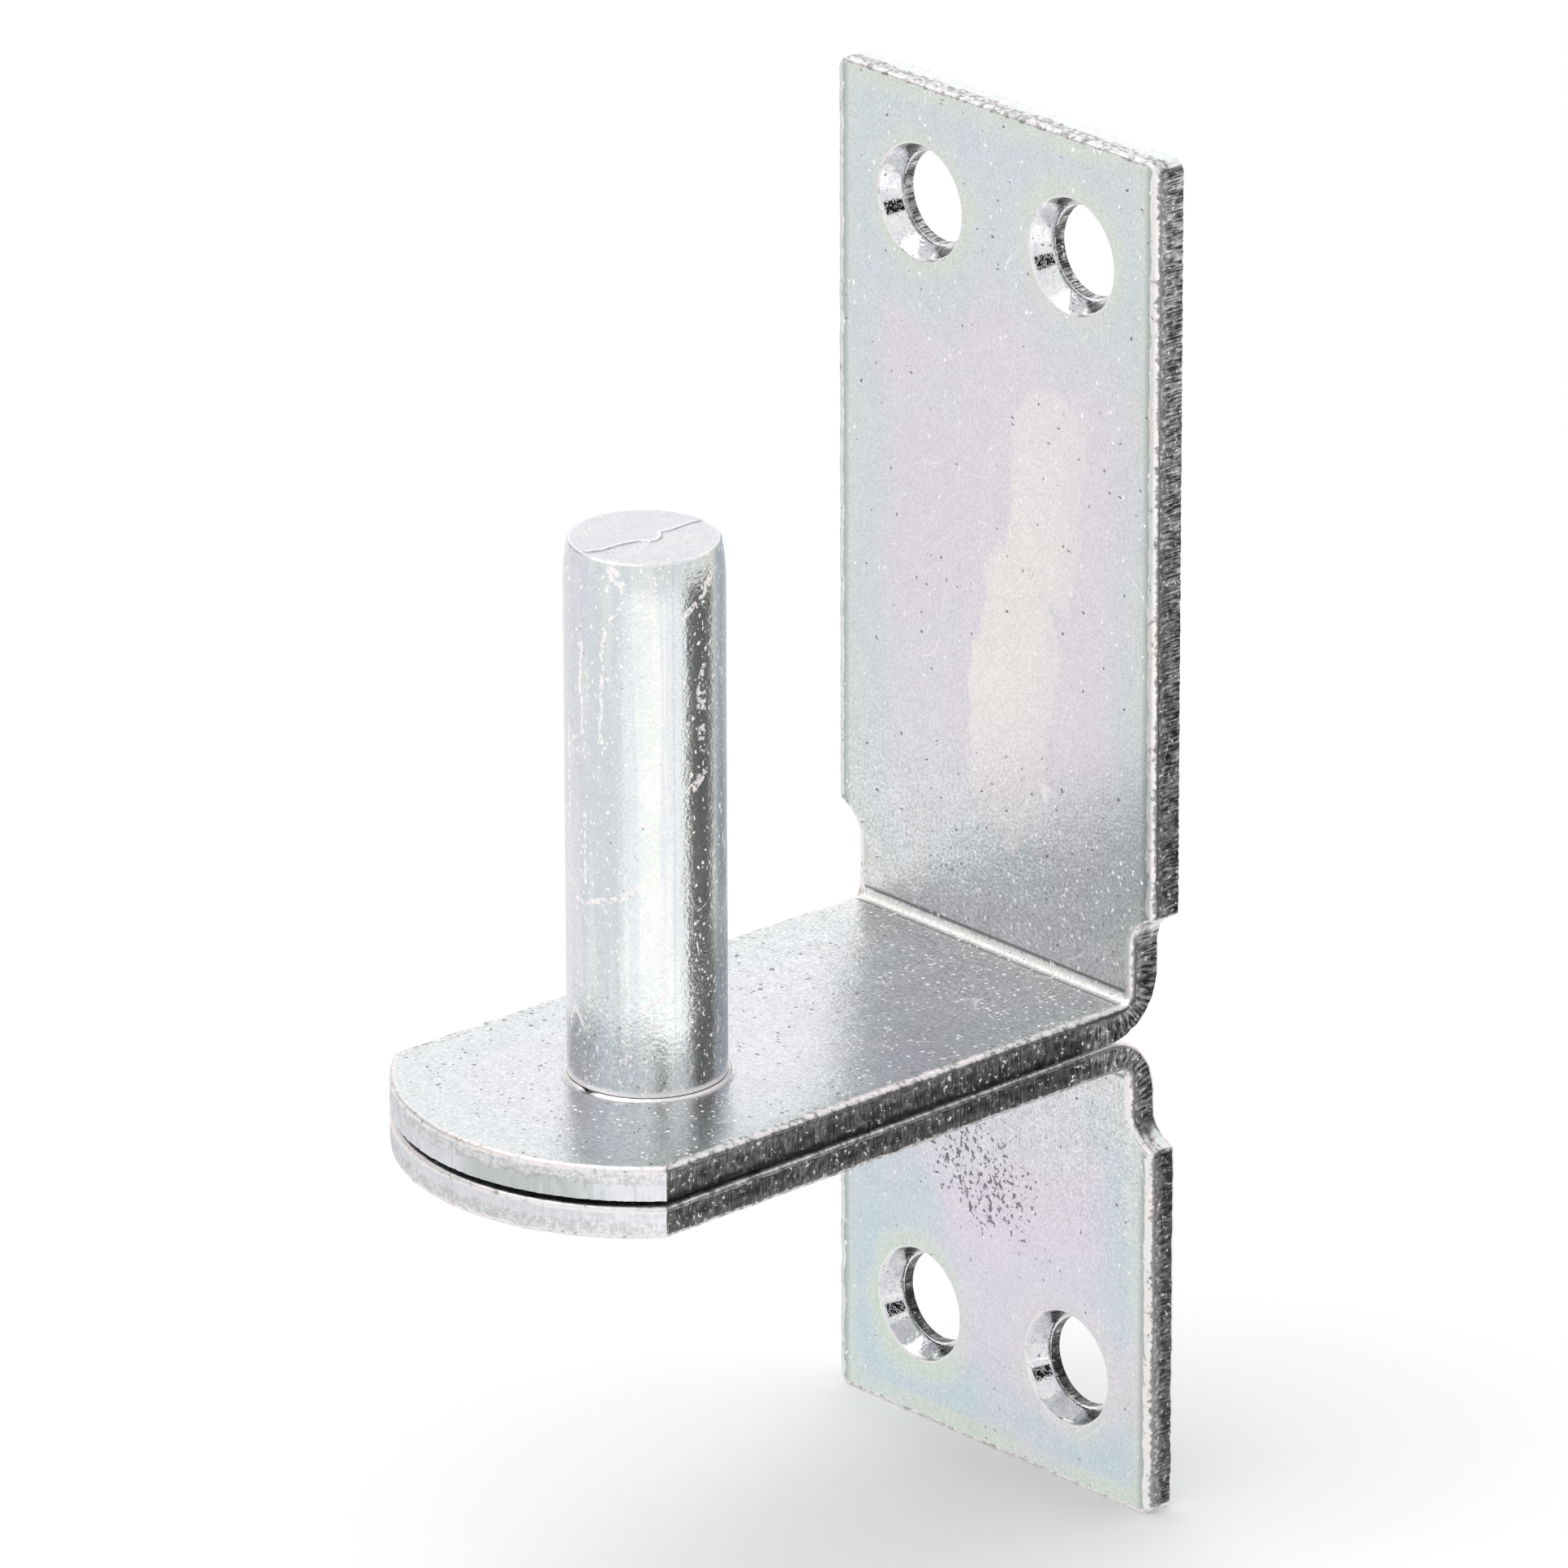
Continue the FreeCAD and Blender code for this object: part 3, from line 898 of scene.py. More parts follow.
def build_pin(finishes):
    """The turned pin with its sheared end, upset below the lower shelf."""
    section = pin_section()
    sizes = {
        "Sides": pin_sides,
        "Axis": (0.0, -pin_reach * MM, 0.0),
        "Knock depth": pin_knock_depth * MM,
        "Knocks per metre": knocks_per_metre,
        "Knocks above": shelf_top * MM,
        "Knock seed": knock_seed,
        "Finish": finishes[TURNED],
    }
    body = spun(section, sizes)
    points = np.array([vertex.co for vertex in body.vertices]) / MM
    shell = Shell()
    shell.add(points, edge=pin_top - points[:, 2], shear=no_edge)
    shell.fill([list(face.vertices) for face in body.polygons], TURNED)

    crown_radius, crown_level = section[-1]
    crown = np.flatnonzero(points[:, 2] > crown_level - level_slack)
    turn = np.arctan2(points[crown, 1] + pin_reach, points[crown, 0]) + math.pi / pin_sides
    last = [int(number) for number in crown[np.argsort(turn % (2 * math.pi))]]
    centre = (0.0, -pin_reach)
    for step in range(1, rim_steps + 1):
        share = step / rim_steps
        angle = share * math.pi / 2
        ring = circle_points((0.0, 0.0), crown_radius - pin_rim_radius * (1 - math.cos(angle)), pin_sides)
        level = pin_top - pin_rim_radius * (1 - math.sin(angle)) + end_height(ring) * share
        row = shell.add(np.column_stack([ring + centre, level]), edge=0.0, shear=no_edge)
        shell.band(last, row, TURNED)
        last = row
    lay_pin_end(shell, ring, last, centre)
    return shell.object("turned_pin", finishes)


def within(points, reach):
    return points[np.hypot(points[:, 0], points[:, 1]) < reach]


def lay_pin_end(shell, ring, row, centre):
    """The sheared end of the bar, with its step along the shear line."""
    reach = np.hypot(ring[:, 0], ring[:, 1]).min()
    line = shear_place()
    at = np.arange(0, run_lengths(line)[-1], shear_step)
    dense = along_path(line, at)
    along = np.gradient(dense, axis=0)
    across = np.column_stack([-along[:, 1], along[:, 0]])
    across /= np.linalg.norm(across, axis=1)[:, None]
    wobble = shear_wobble * ripple(at, shear_wobble_length, wobble_seed)[:, None]
    sides = (-shear_track, shear_track)
    tracks = [within(dense + across * (side + wobble), reach - shear_margin) for side in sides]
    ticks = np.arange(-reach, reach, end_grid)
    grid = np.array([(x, y) for x in ticks for y in ticks])
    grid = within(grid[np.abs(beyond_shear(grid)) > shear_clearance], reach - end_grid_margin)
    loose = np.concatenate(tracks + [grid])
    places = np.column_stack([loose + centre, pin_top + end_height(loose)])
    to_edge = reach - np.hypot(loose[:, 0], loose[:, 1])
    numbers = list(row) + shell.add(places, edge=to_edge, shear=beyond_shear(loose))
    flat = [Vector(point) for point in np.concatenate([ring, loose])]
    _, _, faces, sources = delaunay_2d_cdt(flat, closed_links(0, len(ring)), [], 0, smallest_gap)[:4]
    shell.fill([[numbers[sources[k][0]] for k in face] for face in faces], SHEARED)


def plating_tint_group():
    """Film colours of zinc plate: lilac and rose clouds, sea blue outside them, straw at the borders."""
    inputs = {"Place": "Vector", "Edge": "Float", "Hole": "Float", "Depth of colour": "Float"}
    tree, graph, given, result = new_group("plating tint", inputs, {"Color": "Color"})
    lilac = (0.73, 0.7, 0.752)
    blue = (0.65, 0.705, 0.735)
    rose = (0.75, 0.695, 0.735)
    straw = (0.7, 0.735, 0.675)
    broad = graph.noise(given["Place"], 24.0, 3.0, 0.55, 0.4)
    medium = graph.noise(given["Place"], 70.0, 4.0, 0.6, 0.6)
    wander = (medium - 0.5) * 7.0
    tint = graph.blend(graph.step(broad, 0.48, 0.68), lilac, blue)
    tint = graph.coats(tint, (graph.step(medium, 0.5, 0.68), 0.6, rose))
    for border in ("Edge", "Hole"):
        away = given[border] + wander
        layers = ((graph.step(away, 9.0, 4.0), 0.75, blue), (graph.step(away, 3.2, 0.4), 0.75, straw))
        tint = graph.coats(tint, *layers)
    enriched = {"Saturation": given["Depth of colour"], "Color": tint}
    graph.feed(result["Color"], graph.node("ShaderNodeHueSaturation", "Color", enriched))
    return tree


def specks_group():
    """Sprinkled bright flecks, painted glints of the zinc crystals, and dark dots in the plating, each kind
    with the share of places it takes.
    """
    inputs = {"Place": "Vector", "Scale": "Float", "Fleck share": "Float", "Dot share": "Float"}
    tree, graph, given, result = new_group("plating specks", inputs, {"Flecks": "Float", "Dots": "Float"})
    place = given["Place"] + graph.drift(given["Place"], 2600.0, 1.0) * 0.0006
    kinds = (
        ("Flecks", given["Fleck share"], graph.stretched(place, 0.55), 0.17),
        ("Dots", given["Dot share"], place + 0.37, 0.12),
    )
    for mark, share, moved, least_reach in kinds:
        cells = {"Vector": moved, "Scale": given["Scale"]}
        distance, chance = graph.node("ShaderNodeTexVoronoi", ("Distance", "Color"), cells)
        red, green = graph.node("ShaderNodeSeparateColor", ("Red", "Green"), {"Color": chance})
        speck = graph.step(distance / (least_reach + green * 0.14), 1.0, 0.7)
        graph.feed(result[mark], speck * graph.math("LESS_THAN", red, share))
    return tree


def pits_group():
    """Ragged dark pits where the plating is eaten or rubbed through."""
    inputs = {"Place": "Vector", "More": "Float"}
    tree, graph, given, result = new_group("plating pits", inputs, {"Mask": "Float"})
    dark = graph.noise(given["Place"], 1650.0, 2.0, 0.65)
    graph.feed(result["Mask"], graph.step(dark + given["More"], 0.73, 0.79))
    return tree


def scratches_group():
    """Fine hair scratches: broken, slightly bent lines that follow a level of a noise."""
    inputs = {"Place": "Vector", "Scale": "Float", "Width": "Float"}
    tree, graph, given, result = new_group("hair scratches", inputs, {"Mask": "Float"})
    level = graph.noise(given["Place"], given["Scale"], 0.0)
    thin = graph.step(abs(level - 0.5), given["Width"], 0.0)
    broken = graph.step(graph.noise(given["Place"], 210.0), 0.56, 0.64)
    graph.feed(result["Mask"], thin * broken)
    return tree


def drawn_scratch_group():
    """One scratch drawn between two places, wandering, ragged and broken."""
    inputs = {"Place": "Vector", "Start": "Vector", "End": "Vector", "Width": "Float"}
    tree, graph, given, result = new_group("drawn scratch", inputs, {"Mask": "Float"})
    place = given["Place"]
    ragged = graph.noise(place, 1700.0, 3.0, 0.65)
    run = given["End"] - given["Start"]
    off = place - given["Start"] + graph.drift(place, 330.0, 3.0) * (0.0017, 0.0, 0.0017)
    share = graph.dot(off, run) / graph.dot(run, run)
    share = graph.math("MINIMUM", graph.math("MAXIMUM", share, 0.0), 1.0)
    width = given["Width"] * (ragged * 2.2)
    line = graph.step(graph.length(off - run * share), width, width * 0.5)
    graph.feed(result["Mask"], line * graph.step(ragged, 0.44, 0.53))
    return tree


def grain_group():
    """The fine crystalline grain of the plating, as a height and as a factor that lightens and darkens."""
    inputs = {"Place": "Vector", "Strength": "Float"}
    tree, graph, given, result = new_group("zinc grain", inputs, {"Height": "Float", "Shade": "Float"})
    fine = graph.noise(given["Place"], 2900.0, 2.0, 0.6)
    coarse = graph.noise(given["Place"], 520.0, 3.0, 0.55)
    light = fine + (coarse - 0.5) * 0.25
    graph.feed(result["Height"], fine + coarse * 1.6)
    graph.feed(result["Shade"], 1.0 + (light - 0.5) * given["Strength"])
    return tree


def patch_group():
    """How far a place is from a patch's centre, 1 at its wandering border, about a centre and a half size."""
    inputs = {name: "Vector" for name in ("Place", "Centre", "Lean", "Inverse half size")}
    tree, graph, given, result = new_group("wandering patch", {**inputs, "Wander": "Float"}, {"Far": "Float"})
    leaning = {"Vector": given["Place"] - given["Centre"], "Rotation": given["Lean"]}
    scaled = graph.node("ShaderNodeMapping", "Vector", leaning) * given["Inverse half size"]
    far = graph.math("SQRT", graph.length(scaled * scaled))
    wave = graph.noise(given["Place"], 110.0, 7.0, 0.66, 0.5) - 0.5
    graph.feed(result["Far"], far + wave * given["Wander"])
    return tree


# Where the shelf's rims fade in from the bend, and the lower leaf from the shelves, in metres
shelf_start = (-0.007, -0.012)
lower_start = (-0.026, -0.034)

# Across the pin to the camera's right, in steps of about its radius
pin_across = (82.0, 91.0, 0.0)

# Depth of relief that most finishes share, in metres
grain_depth = 0.00012


def new_material(name):
    """A material with its graph and the place on the object."""
    made = bpy.data.materials.new(name)
    made.use_nodes = True
    graph = Graph(made.node_tree)
    return made, graph, graph.place()


def finished(made, graph, tint, metallic, roughness, relief, strength, depth=grain_depth):
    """The material with its looks fed in, and its relief as a bump."""
    raised = {"Height": relief, "Strength": strength, "Distance": depth}
    looks = {"Base Color": tint, "Metallic": metallic, "Roughness": roughness}
    looks["Normal"] = graph.node("ShaderNodeBump", "Normal", raised)
    for name, value in looks.items():
        graph.feed(made.node_tree.nodes["Principled BSDF"].inputs[name], value)
    return made


def specks(graph, groups, place, scale, fleck_share, dot_share):
    """Masks of the bright flecks, which are painted glints, and the dark dots."""
    shares = {"fleck_share": fleck_share, "dot_share": dot_share}
    return graph.use(groups["specks"], ("Flecks", "Dots"), place=place, scale=scale, **shares)


def grain(graph, groups, place, strength):
    """Height and shade of the grain."""
    return graph.use(groups["grain"], ("Height", "Shade"), place=place, strength=strength)


def plated_skin(groups):
    """The rolled faces of the plates."""
    made, graph, place = new_material("zinc plated sheet")
    across, forward, level = graph.parts(place)
    bend = graph.mark("bend")
    front = graph.step(graph.mark("depth"), 2.0, 1.0)
    strained = graph.step(bend, 27.0, 4.0)
    shelf = graph.step(forward, -0.01, -0.024)
    shelf_right = shelf * graph.step(across, 0.006, 0.018)
    on_left = graph.step(across, 0.006, -0.01)
    richness = 1.0 + graph.step(level, *lower_start) * 0.75
    borders = {"edge": graph.mark("edge"), "hole": graph.mark("hole")}
    tint = graph.use(groups["tint"], "Color", place=place, depth_of_colour=richness, **borders)
    run, halo = dried_run(graph, groups, place, front)

    speckled = graph.most(strained, shelf * (0.6 - on_left * 0.35))
    fleck_share = (0.2 + speckled * 0.75) * (0.25 + front * 0.75)
    dot_share = 0.05 + graph.most(shelf, strained * 0.6) * 0.2
    glint_flecks, dots = specks(graph, groups, place, 1350.0, fleck_share, dot_share)
    large_dots = specks(graph, groups, place, 950.0, 0.0, shelf * (0.12 + on_left * 0.3))[1]
    rubbed = rubbed_patch(graph, groups, place, front)
    pits = graph.most(graph.use(groups["pits"], "Mask", place=place, more=rubbed * 0.19), dots, large_dots)
    hairs = graph.use(groups["scratches"], "Mask", place=place, scale=75.0, width=0.005) * front
    height, shade = grain(graph, groups, place, 0.5 + (strained * 0.85 + shelf * 0.35))
    # Painted highlight along the middle of the fold
    crease_highlight = crease_line(graph, bend, 0.0, 0.65)
    front_glint_flecks = glint_flecks * (0.4 + front * 0.6)

    tint = graph.coats(
        tint,
        (lower_bloom(graph, groups, place), 0.75, (0.755, 0.7, 0.775)),
        (shelf, 0.65, (0.655, 0.675, 0.705)),
        (shelf_right, 0.5, (0.58, 0.6, 0.63)),
        (halo, 0.6, (0.765, 0.715, 0.757)),
        (run, 0.8, run_tint(graph, level)),
        (strained, 0.5, (0.665, 0.69, 0.68)),
        (graph.step(bend, 8.0, 3.0), 0.2, (0.74, 0.67, 0.7)),
    )
    tint = graph.coats(
        graph.shade(tint, shade),
        # Painted shade beside the leaves' rims, and scuffs along the shelf's sides
        (rim_shade_and_scuffs(graph, place, abs(across), shelf), 1.0, (0.36, 0.4, 0.38)),
        # Painted shade in thin lines either side of the fold
        (crease_line(graph, bend, 0.9, 0.25), 1.0, grey(0.3)),
        (crease_highlight, 1.0, (0.93, 0.91, 0.88)),
        (hairs, 0.7, (0.95, 0.9, 0.9)),
        (pits, 0.85, (0.11, 0.11, 0.12)),
        # Painted glints: the bright flecks
        (front_glint_flecks, 1.0, (1.0, 0.98, 0.98)),
    )
    dull = graph.most(front_glint_flecks * 0.95, crease_highlight * 0.4, hairs * 0.6)
    rough = 0.19 + graph.noise(place, 120.0, 3.0) * 0.14 + run * 0.12
    relief = (height + (glint_flecks - pits)) * (0.6 + strained)
    return finished(made, graph, tint, 1.0 - dull, rough, relief, 0.4)


def rim_shade_and_scuffs(graph, place, across, shelf):
    """Painted shade in a line beside the rolled rims of the leaves, and the scuffed band along the shelf's
    sides.
    """
    rim = (half_leaf - side_roll_width) * MM
    shelf_rim = (half_shelf - side_roll_width) * MM
    # Painted shade: a dark line just inside each rolled rim
    line = graph.step(across, rim - 0.0011, rim - 0.0001)
    scuffs = graph.step(graph.noise(place, 1300.0, 4.0, 0.7), 0.5, 0.58)
    band = graph.step(across, shelf_rim - 0.0013, shelf_rim - 0.0004) * scuffs
    return graph.most(line * 0.7, band * shelf * 0.5)


def crease_line(graph, bend, centre, half_width):
    """A line along the fold, as far from its middle as the centre says."""
    return graph.step(abs(bend - centre), half_width, 0.3 * half_width)


def patch(graph, groups, place, middle, half_size, degrees, wander):
    """How far places on a leaf are from a leaning patch, by its middle and half size across and up."""
    given = {"centre": (middle[0], 0.0, middle[1]), "lean": (0.0, math.radians(degrees), 0.0)}
    given["inverse_half_size"] = (1 / half_size[0], 0.0, 1 / half_size[1])
    return graph.use(groups["patch"], "Far", place=place, wander=wander, **given)


def dried_run(graph, groups, place, front):
    """The pale dried run down the upper leaf, as two patches that join, and the wider stain beside it."""
    upper = patch(graph, groups, place, (0.0074, 0.0325), (0.0053, 0.012), -4, 1.3)
    lower = patch(graph, groups, place, (0.003, 0.0105), (0.0062, 0.0155), -4, 1.3)
    stain = patch(graph, groups, place, (0.0085, 0.03), (0.0105, 0.022), -4, 1.0)
    run = graph.step(graph.math("MINIMUM", upper, lower), 1.0, 0.9)
    fading = 0.5 + graph.step(graph.dot(place, (1.0, 0.0, -0.16)), 0.0075, 0.003) * 0.5
    return run * fading * front, graph.step(stain, 1.5, 0.5) * front


def run_tint(graph, level):
    """The run's own colour: cream, pinker towards both its ends."""
    ends = graph.most(graph.step(level, 0.026, 0.042), graph.step(level, 0.009, -0.003))
    return graph.blend(ends, (0.89, 0.845, 0.82), (0.865, 0.808, 0.828))


def rubbed_patch(graph, groups, place, front):
    """Where the plating is rubbed through in many small pits, below the shelf."""
    far = patch(graph, groups, place, (-0.001, -0.0425), (0.012, 0.0085), -20, 1.2)
    return graph.step(far, 1.15, 0.2) * front


def lower_bloom(graph, groups, place):
    """The lilac bloom down the middle of the lower leaf."""
    return graph.step(patch(graph, groups, place, (0.004, -0.049), (0.013, 0.019), 20, 1.6), 1.3, 0.6)


def rolled_rim():
    """The rounded rims: worn bright and a little pink, mottled at the shelf's sides and the leaves' ends,
    with painted shade on the left rim.
    """
    made, graph, place = new_material("worn rolled rim")
    across, forward, _ = graph.parts(place)
    side = graph.mark("side")
    depth = graph.mark("depth")
    outside = graph.step(graph.mark("edge"), 3.0, 2.0)
    chips = graph.noise(place, 1300.0, 4.0, 0.7)
    shelf = graph.step(forward, *shelf_start)
    straight = graph.step(side, 0.85, 0.97)
    ends = (1.0 - shelf) * graph.step(side, 0.9, 0.5)
    mottled = graph.most(shelf * straight, ends, shelf * 0.25) * outside
    worn = graph.blend(graph.step(chips, 0.45, 0.61), (0.86, 0.83, 0.83), (0.3, 0.3, 0.29))
    # Painted shade on the left rim
    left = graph.step(across, (1 - half_leaf) * MM, (0.6 - half_leaf) * MM)
    lip = graph.step(depth + (chips - 0.5) * 1.1, 0.2, 0.38) * graph.step(depth, 1.5, 1.0)
    lip = lip * straight * (1.0 - shelf * 0.7) * outside
    clouds = graph.step(graph.noise(place, 160.0), 0.4, 0.62)
    tint = graph.coats(
        graph.blend(clouds, (0.86, 0.85, 0.85), (0.9, 0.84, 0.83)),
        (mottled, 0.85, worn),
        (left, 0.6, (0.6, 0.64, 0.66)),
        (graph.step(chips, 0.57, 0.68), 0.8, (0.28, 0.29, 0.28)),
        (lip, 0.85, grey(0.2)),
    )
    return finished(made, graph, tint, 1.0, 0.32, chips, 0.6)


def sheared_wall():
    """The punched walls: pale and streaked at the nose and the ends, dark and torn along the sides; painted
    shade below the shelves, painted shadow at the seam, painted glints.
    """
    made, graph, place = new_material("sheared edge")
    across, forward, level = graph.parts(place)
    depth = graph.mark("depth")
    torn = graph.step(graph.mark("side"), 0.82, 0.97)
    shelf = graph.step(forward, *shelf_start)
    mottle = graph.noise(place, 520.0, 4.0, 0.65)
    streak = graph.noise(graph.joined(graph.mark("run"), depth * 0.1), 4.2, 4.0, 0.7) * 0.65 + mottle * 0.35
    grains = graph.noise(place, 1900.0, 3.0, 0.7)
    wandering = depth + (mottle - 0.5) * 1.6
    marred = graph.blend(graph.step(grains, 0.42, 0.6), grey(0.3), (0.84, 0.81, 0.81))
    pale = pale_wall(graph, across, level, streak, wandering, marred, shelf)
    light = graph.blend(shelf, (0.88, 0.86, 0.85), (0.26, 0.26, 0.25))
    # Painted shade: the lower leaf's walls, below the shelves, darker
    light = graph.blend(graph.step(level, *lower_start), light, (0.3, 0.3, 0.29))
    dark = graph.blend(graph.step(streak, 0.43, 0.63), grey(0.05), light)
    # Painted glints in the torn grain
    glint_sparks = graph.step(grains, 0.61, 0.67) * 0.9
    dark = graph.coats(
        graph.shade(dark, 0.4 + grains * 1.2),
        (graph.step(wandering, 1.7, 1.0), 0.5 - shelf * 0.3, marred),
        (glint_sparks, 1.0, (0.9, 0.88, 0.87)),
        # Painted shadow in the seam between the shelves
        (graph.step(wandering, 2.8, 3.3) * shelf, 0.9, grey(0.02)),
    )
    tint = graph.blend(torn, pale, dark)
    relief = streak + grains * 0.4
    return finished(made, graph, tint, 1.0 - glint_sparks * torn, 0.3 + torn * 0.12, relief, 0.4, 0.00015)


def pale_wall(graph, across, level, streak, wandering, marred, shelf):
    """The nose and the leaves' ends: streaked, marred beside the rim, a darker band on the upper nose."""
    upper = graph.step(level, (seam_level - 0.1) * MM, seam_level * MM)
    middle = graph.step(abs(across - 0.0085), 0.0085, 0.005)
    nose_band = upper * shelf * middle * graph.step(wandering, 1.2, 1.7)
    return graph.coats(
        graph.blend(graph.step(streak, 0.34, 0.66), (0.63, 0.645, 0.67), (0.775, 0.785, 0.81)),
        (1.0 - shelf, 1.0, (0.83, 0.86, 0.85)),
        (nose_band, 0.65, (0.45, 0.48, 0.47)),
        (graph.step(wandering, 2.1, 1.7), 0.95 - shelf * 0.6, marred),
    )


def countersink_cone(groups):
    """The coined cones of the screw holes, bright, dotted and crackled, with painted shade at the top and
    lower right.
    """
    made, graph, place = new_material("coined countersink")
    cloud = graph.noise(place, 420.0, 3.0, 0.6)
    glint_flecks, dots = specks(graph, groups, place, 1800.0, 0.3, 0.45)
    tint = graph.blend(graph.step(cloud, 0.4, 0.62), (0.71, 0.71, 0.75), (0.81, 0.82, 0.81))
    # Painted shade on the top and lower right of each cone
    tint = graph.coats(tint, (painted_cone_shade(graph, place), 0.85, (0.27, 0.3, 0.28)))
    tint = graph.coats(
        graph.shade(tint, grain(graph, groups, place, 0.5)[1]),
        (dots, 0.85, grey(0.08)),
        # Painted glints: the bright flecks
        (glint_flecks, 0.7, grey(0.93)),
    )
    crackle = graph.step(graph.noise(place, 2200.0, 2.0, 0.6), 0.5, 0.6)
    return finished(made, graph, tint, 1.0, 0.04 + cloud * 0.08, crackle, 0.22, 0.00003)


def painted_cone_shade(graph, place):
    """Painted shade on the top and the lower right of each cone, by the place about its own hole's centre."""
    across, _, level = graph.parts(place)
    x, z = (
        value - graph.math("SIGN", value) * (centre * MM)
        for value, centre in ((across, hole_pitch / 2), (level, hole_row))
    )
    ragged = (graph.noise(place, 900.0, 3.0, 0.6) - 0.5) * 0.002
    masks = []
    for degrees, start in ((80.0, 0.0036), (-48.0, 0.0046)):
        facing = (math.cos(math.radians(degrees)), 0.0, math.sin(math.radians(degrees)))
        reach = graph.dot(graph.joined(x, 0.0, z), facing) + ragged
        masks.append(graph.step(reach, start, start + 0.0009))
    return graph.most(*masks)


def turned_bar(groups):
    """The pin's plated wall: bands along it, blotches, rub marks, scratches and grain with painted glints;
    painted highlights on the lower wall, the foot and the crown's rim.
    """
    made, graph, place = new_material("zinc plated bar")
    edge = graph.mark("edge")
    across = graph.dot(place, pin_across)
    blotch = graph.noise(place, 130.0, 4.0, 0.6, 0.8)
    low = graph.step(edge, 38.0, 52.0)
    # Painted highlight: a pale ring at the pin's foot
    painted_foot_line = graph.step(edge, 55.2, 55.7)
    # Painted highlight in a stripe down the lower wall
    painted_bright_side = low * graph.step(abs(across + 4.37), 0.5, 0.15)
    glint_flecks, dots = specks(graph, groups, place, 1900.0, 0.85 + low * 0.15, 0.03 + low * 0.25)
    upright = graph.stretched(place, 0.3)
    hairs = graph.use(groups["scratches"], "Mask", place=upright, scale=150.0, width=0.012)
    hairs = graph.most(hairs, pin_scratches(graph, groups, place))
    smeared = graph.noise(graph.stretched(place, 0.6), 620.0, 4.0, 0.65, 0.8)
    rubs = graph.step(smeared + graph.step(edge, 4.0, 0.3) * 0.06, 0.64, 0.68)
    height, shade = grain(graph, groups, place, 0.3 + low * 0.6)
    tint = graph.coats(
        graph.shade(bar_film_tint_and_painted_light(graph, place, across, blotch), shade),
        (painted_bright_side, 0.3, (0.86, 0.9, 0.9)),
        (painted_foot_line, 0.8, (0.9, 0.87, 0.86)),
        (rubs, 0.75, (0.93, 0.86, 0.85)),
        (hairs, 0.9, (0.97, 0.91, 0.9)),
        # Painted highlight round the crown's rim
        (graph.step(edge, 0.45, 0.12), 0.3, (0.93, 0.88, 0.88)),
        (dots, 0.7, grey(0.2)),
        # Painted glints: the bright flecks
        (glint_flecks, 0.95, (0.98, 0.95, 0.94)),
    )
    dull = graph.most(glint_flecks * 0.9, rubs * 0.7, hairs * 0.8, painted_foot_line * 0.8)
    rough = 0.1 + blotch * 0.14 + rubs * 0.35
    relief = height + glint_flecks * 0.5 + hairs * 0.3
    return finished(made, graph, tint, 1.0 - dull, rough, relief, 0.33)


def pin_scratches(graph, groups, place):
    """The long scratches on the pin's unrolled wall, by turn about it and distance below its top."""
    x, y, z = graph.parts(place)
    turn = graph.math("ARCTAN2", y + pin_reach * MM, x)
    wall = graph.joined(turn * (pin_radius * MM), 0.0, z)
    scratches = (
        ((-68.0, 0.5), (-58.0, 2.6), 0.5),
        ((-58.0, 3.8), (-73.5, 8.3), 0.2),
        ((-73.5, 8.3), (-74.0, 19.0), 0.2),
        ((-94.0, 9.0), (-92.0, 19.0), 0.22),
        ((-112.0, 18.0), (-110.0, 28.0), 0.25),
        ((18.0, 1.7), (-9.5, 5.7), 0.34),
        ((4.0, 11.5), (2.0, 12.2), 0.4),
        ((3.0, 13.2), (1.0, 15.6), 0.5),
        ((2.0, 17.6), (1.0, 18.6), 0.4),
        ((4.0, 22.6), (-6.0, 24.0), 0.5),
        ((-44.0, 27.2), (-36.0, 27.8), 0.6),
        ((-89.6, 26.4), (-90.0, 34.0), 0.2),
        ((-104.5, 36.3), (-68.3, 35.6), 0.25),
        ((-68.3, 35.6), (-39.2, 33.2), 0.3),
    )
    masks = []
    for start, end, width in scratches:
        given = {"place": wall, "width": width * MM}
        for name, (degrees, below) in (("start", start), ("end", end)):
            given[name] = (math.radians(degrees) * pin_radius * MM, 0.0, (pin_top - below) * MM)
        masks.append(graph.use(groups["drawn scratch"], "Mask", **given))
    return graph.most(*masks)


def bar_film_tint_and_painted_light(graph, place, across, blotch):
    """Film colours round the pin, lilac then sea green then cream, in bands that run along it, laid by the
    turn towards the camera's right: the cream band is partly a painted highlight, the bluish grey at the far
    right a painted shade.
    """
    lilac = (0.72, 0.715, 0.765)
    sea = (0.715, 0.765, 0.765)
    cream = (0.765, 0.785, 0.755)
    around = across + graph.noise(graph.stretched(place, 0.12), 150.0, 3.0) * 0.9
    lines = graph.noise(graph.stretched(place, 0.03), 900.0, 3.0, 0.6)
    stripes = graph.noise(graph.stretched(place, 0.05), 300.0)
    thin_bluish_line = graph.step(abs(across + 4.2), 0.022, 0.008)
    return graph.coats(
        graph.blend(graph.step(around, -5.0, -4.7), lilac, sea),
        # Cream film colour where the camera sees the highlight: partly a painted highlight
        (graph.step(around, -4.35, -3.95), 1.0, cream),
        (graph.step(blotch, 0.48, 0.66), 0.6, (0.84, 0.845, 0.815)),
        (graph.step(stripes, 0.5, 0.57), 0.55, (0.62, 0.65, 0.7)),
        (graph.step(lines, 0.52, 0.7), 0.3, (0.62, 0.65, 0.68)),
        (thin_bluish_line, 0.45, (0.5, 0.58, 0.66)),
        # Painted shade down the pin's far right side
        (graph.step(across, -3.73, -3.68), 0.75, (0.52, 0.6, 0.64)),
    )


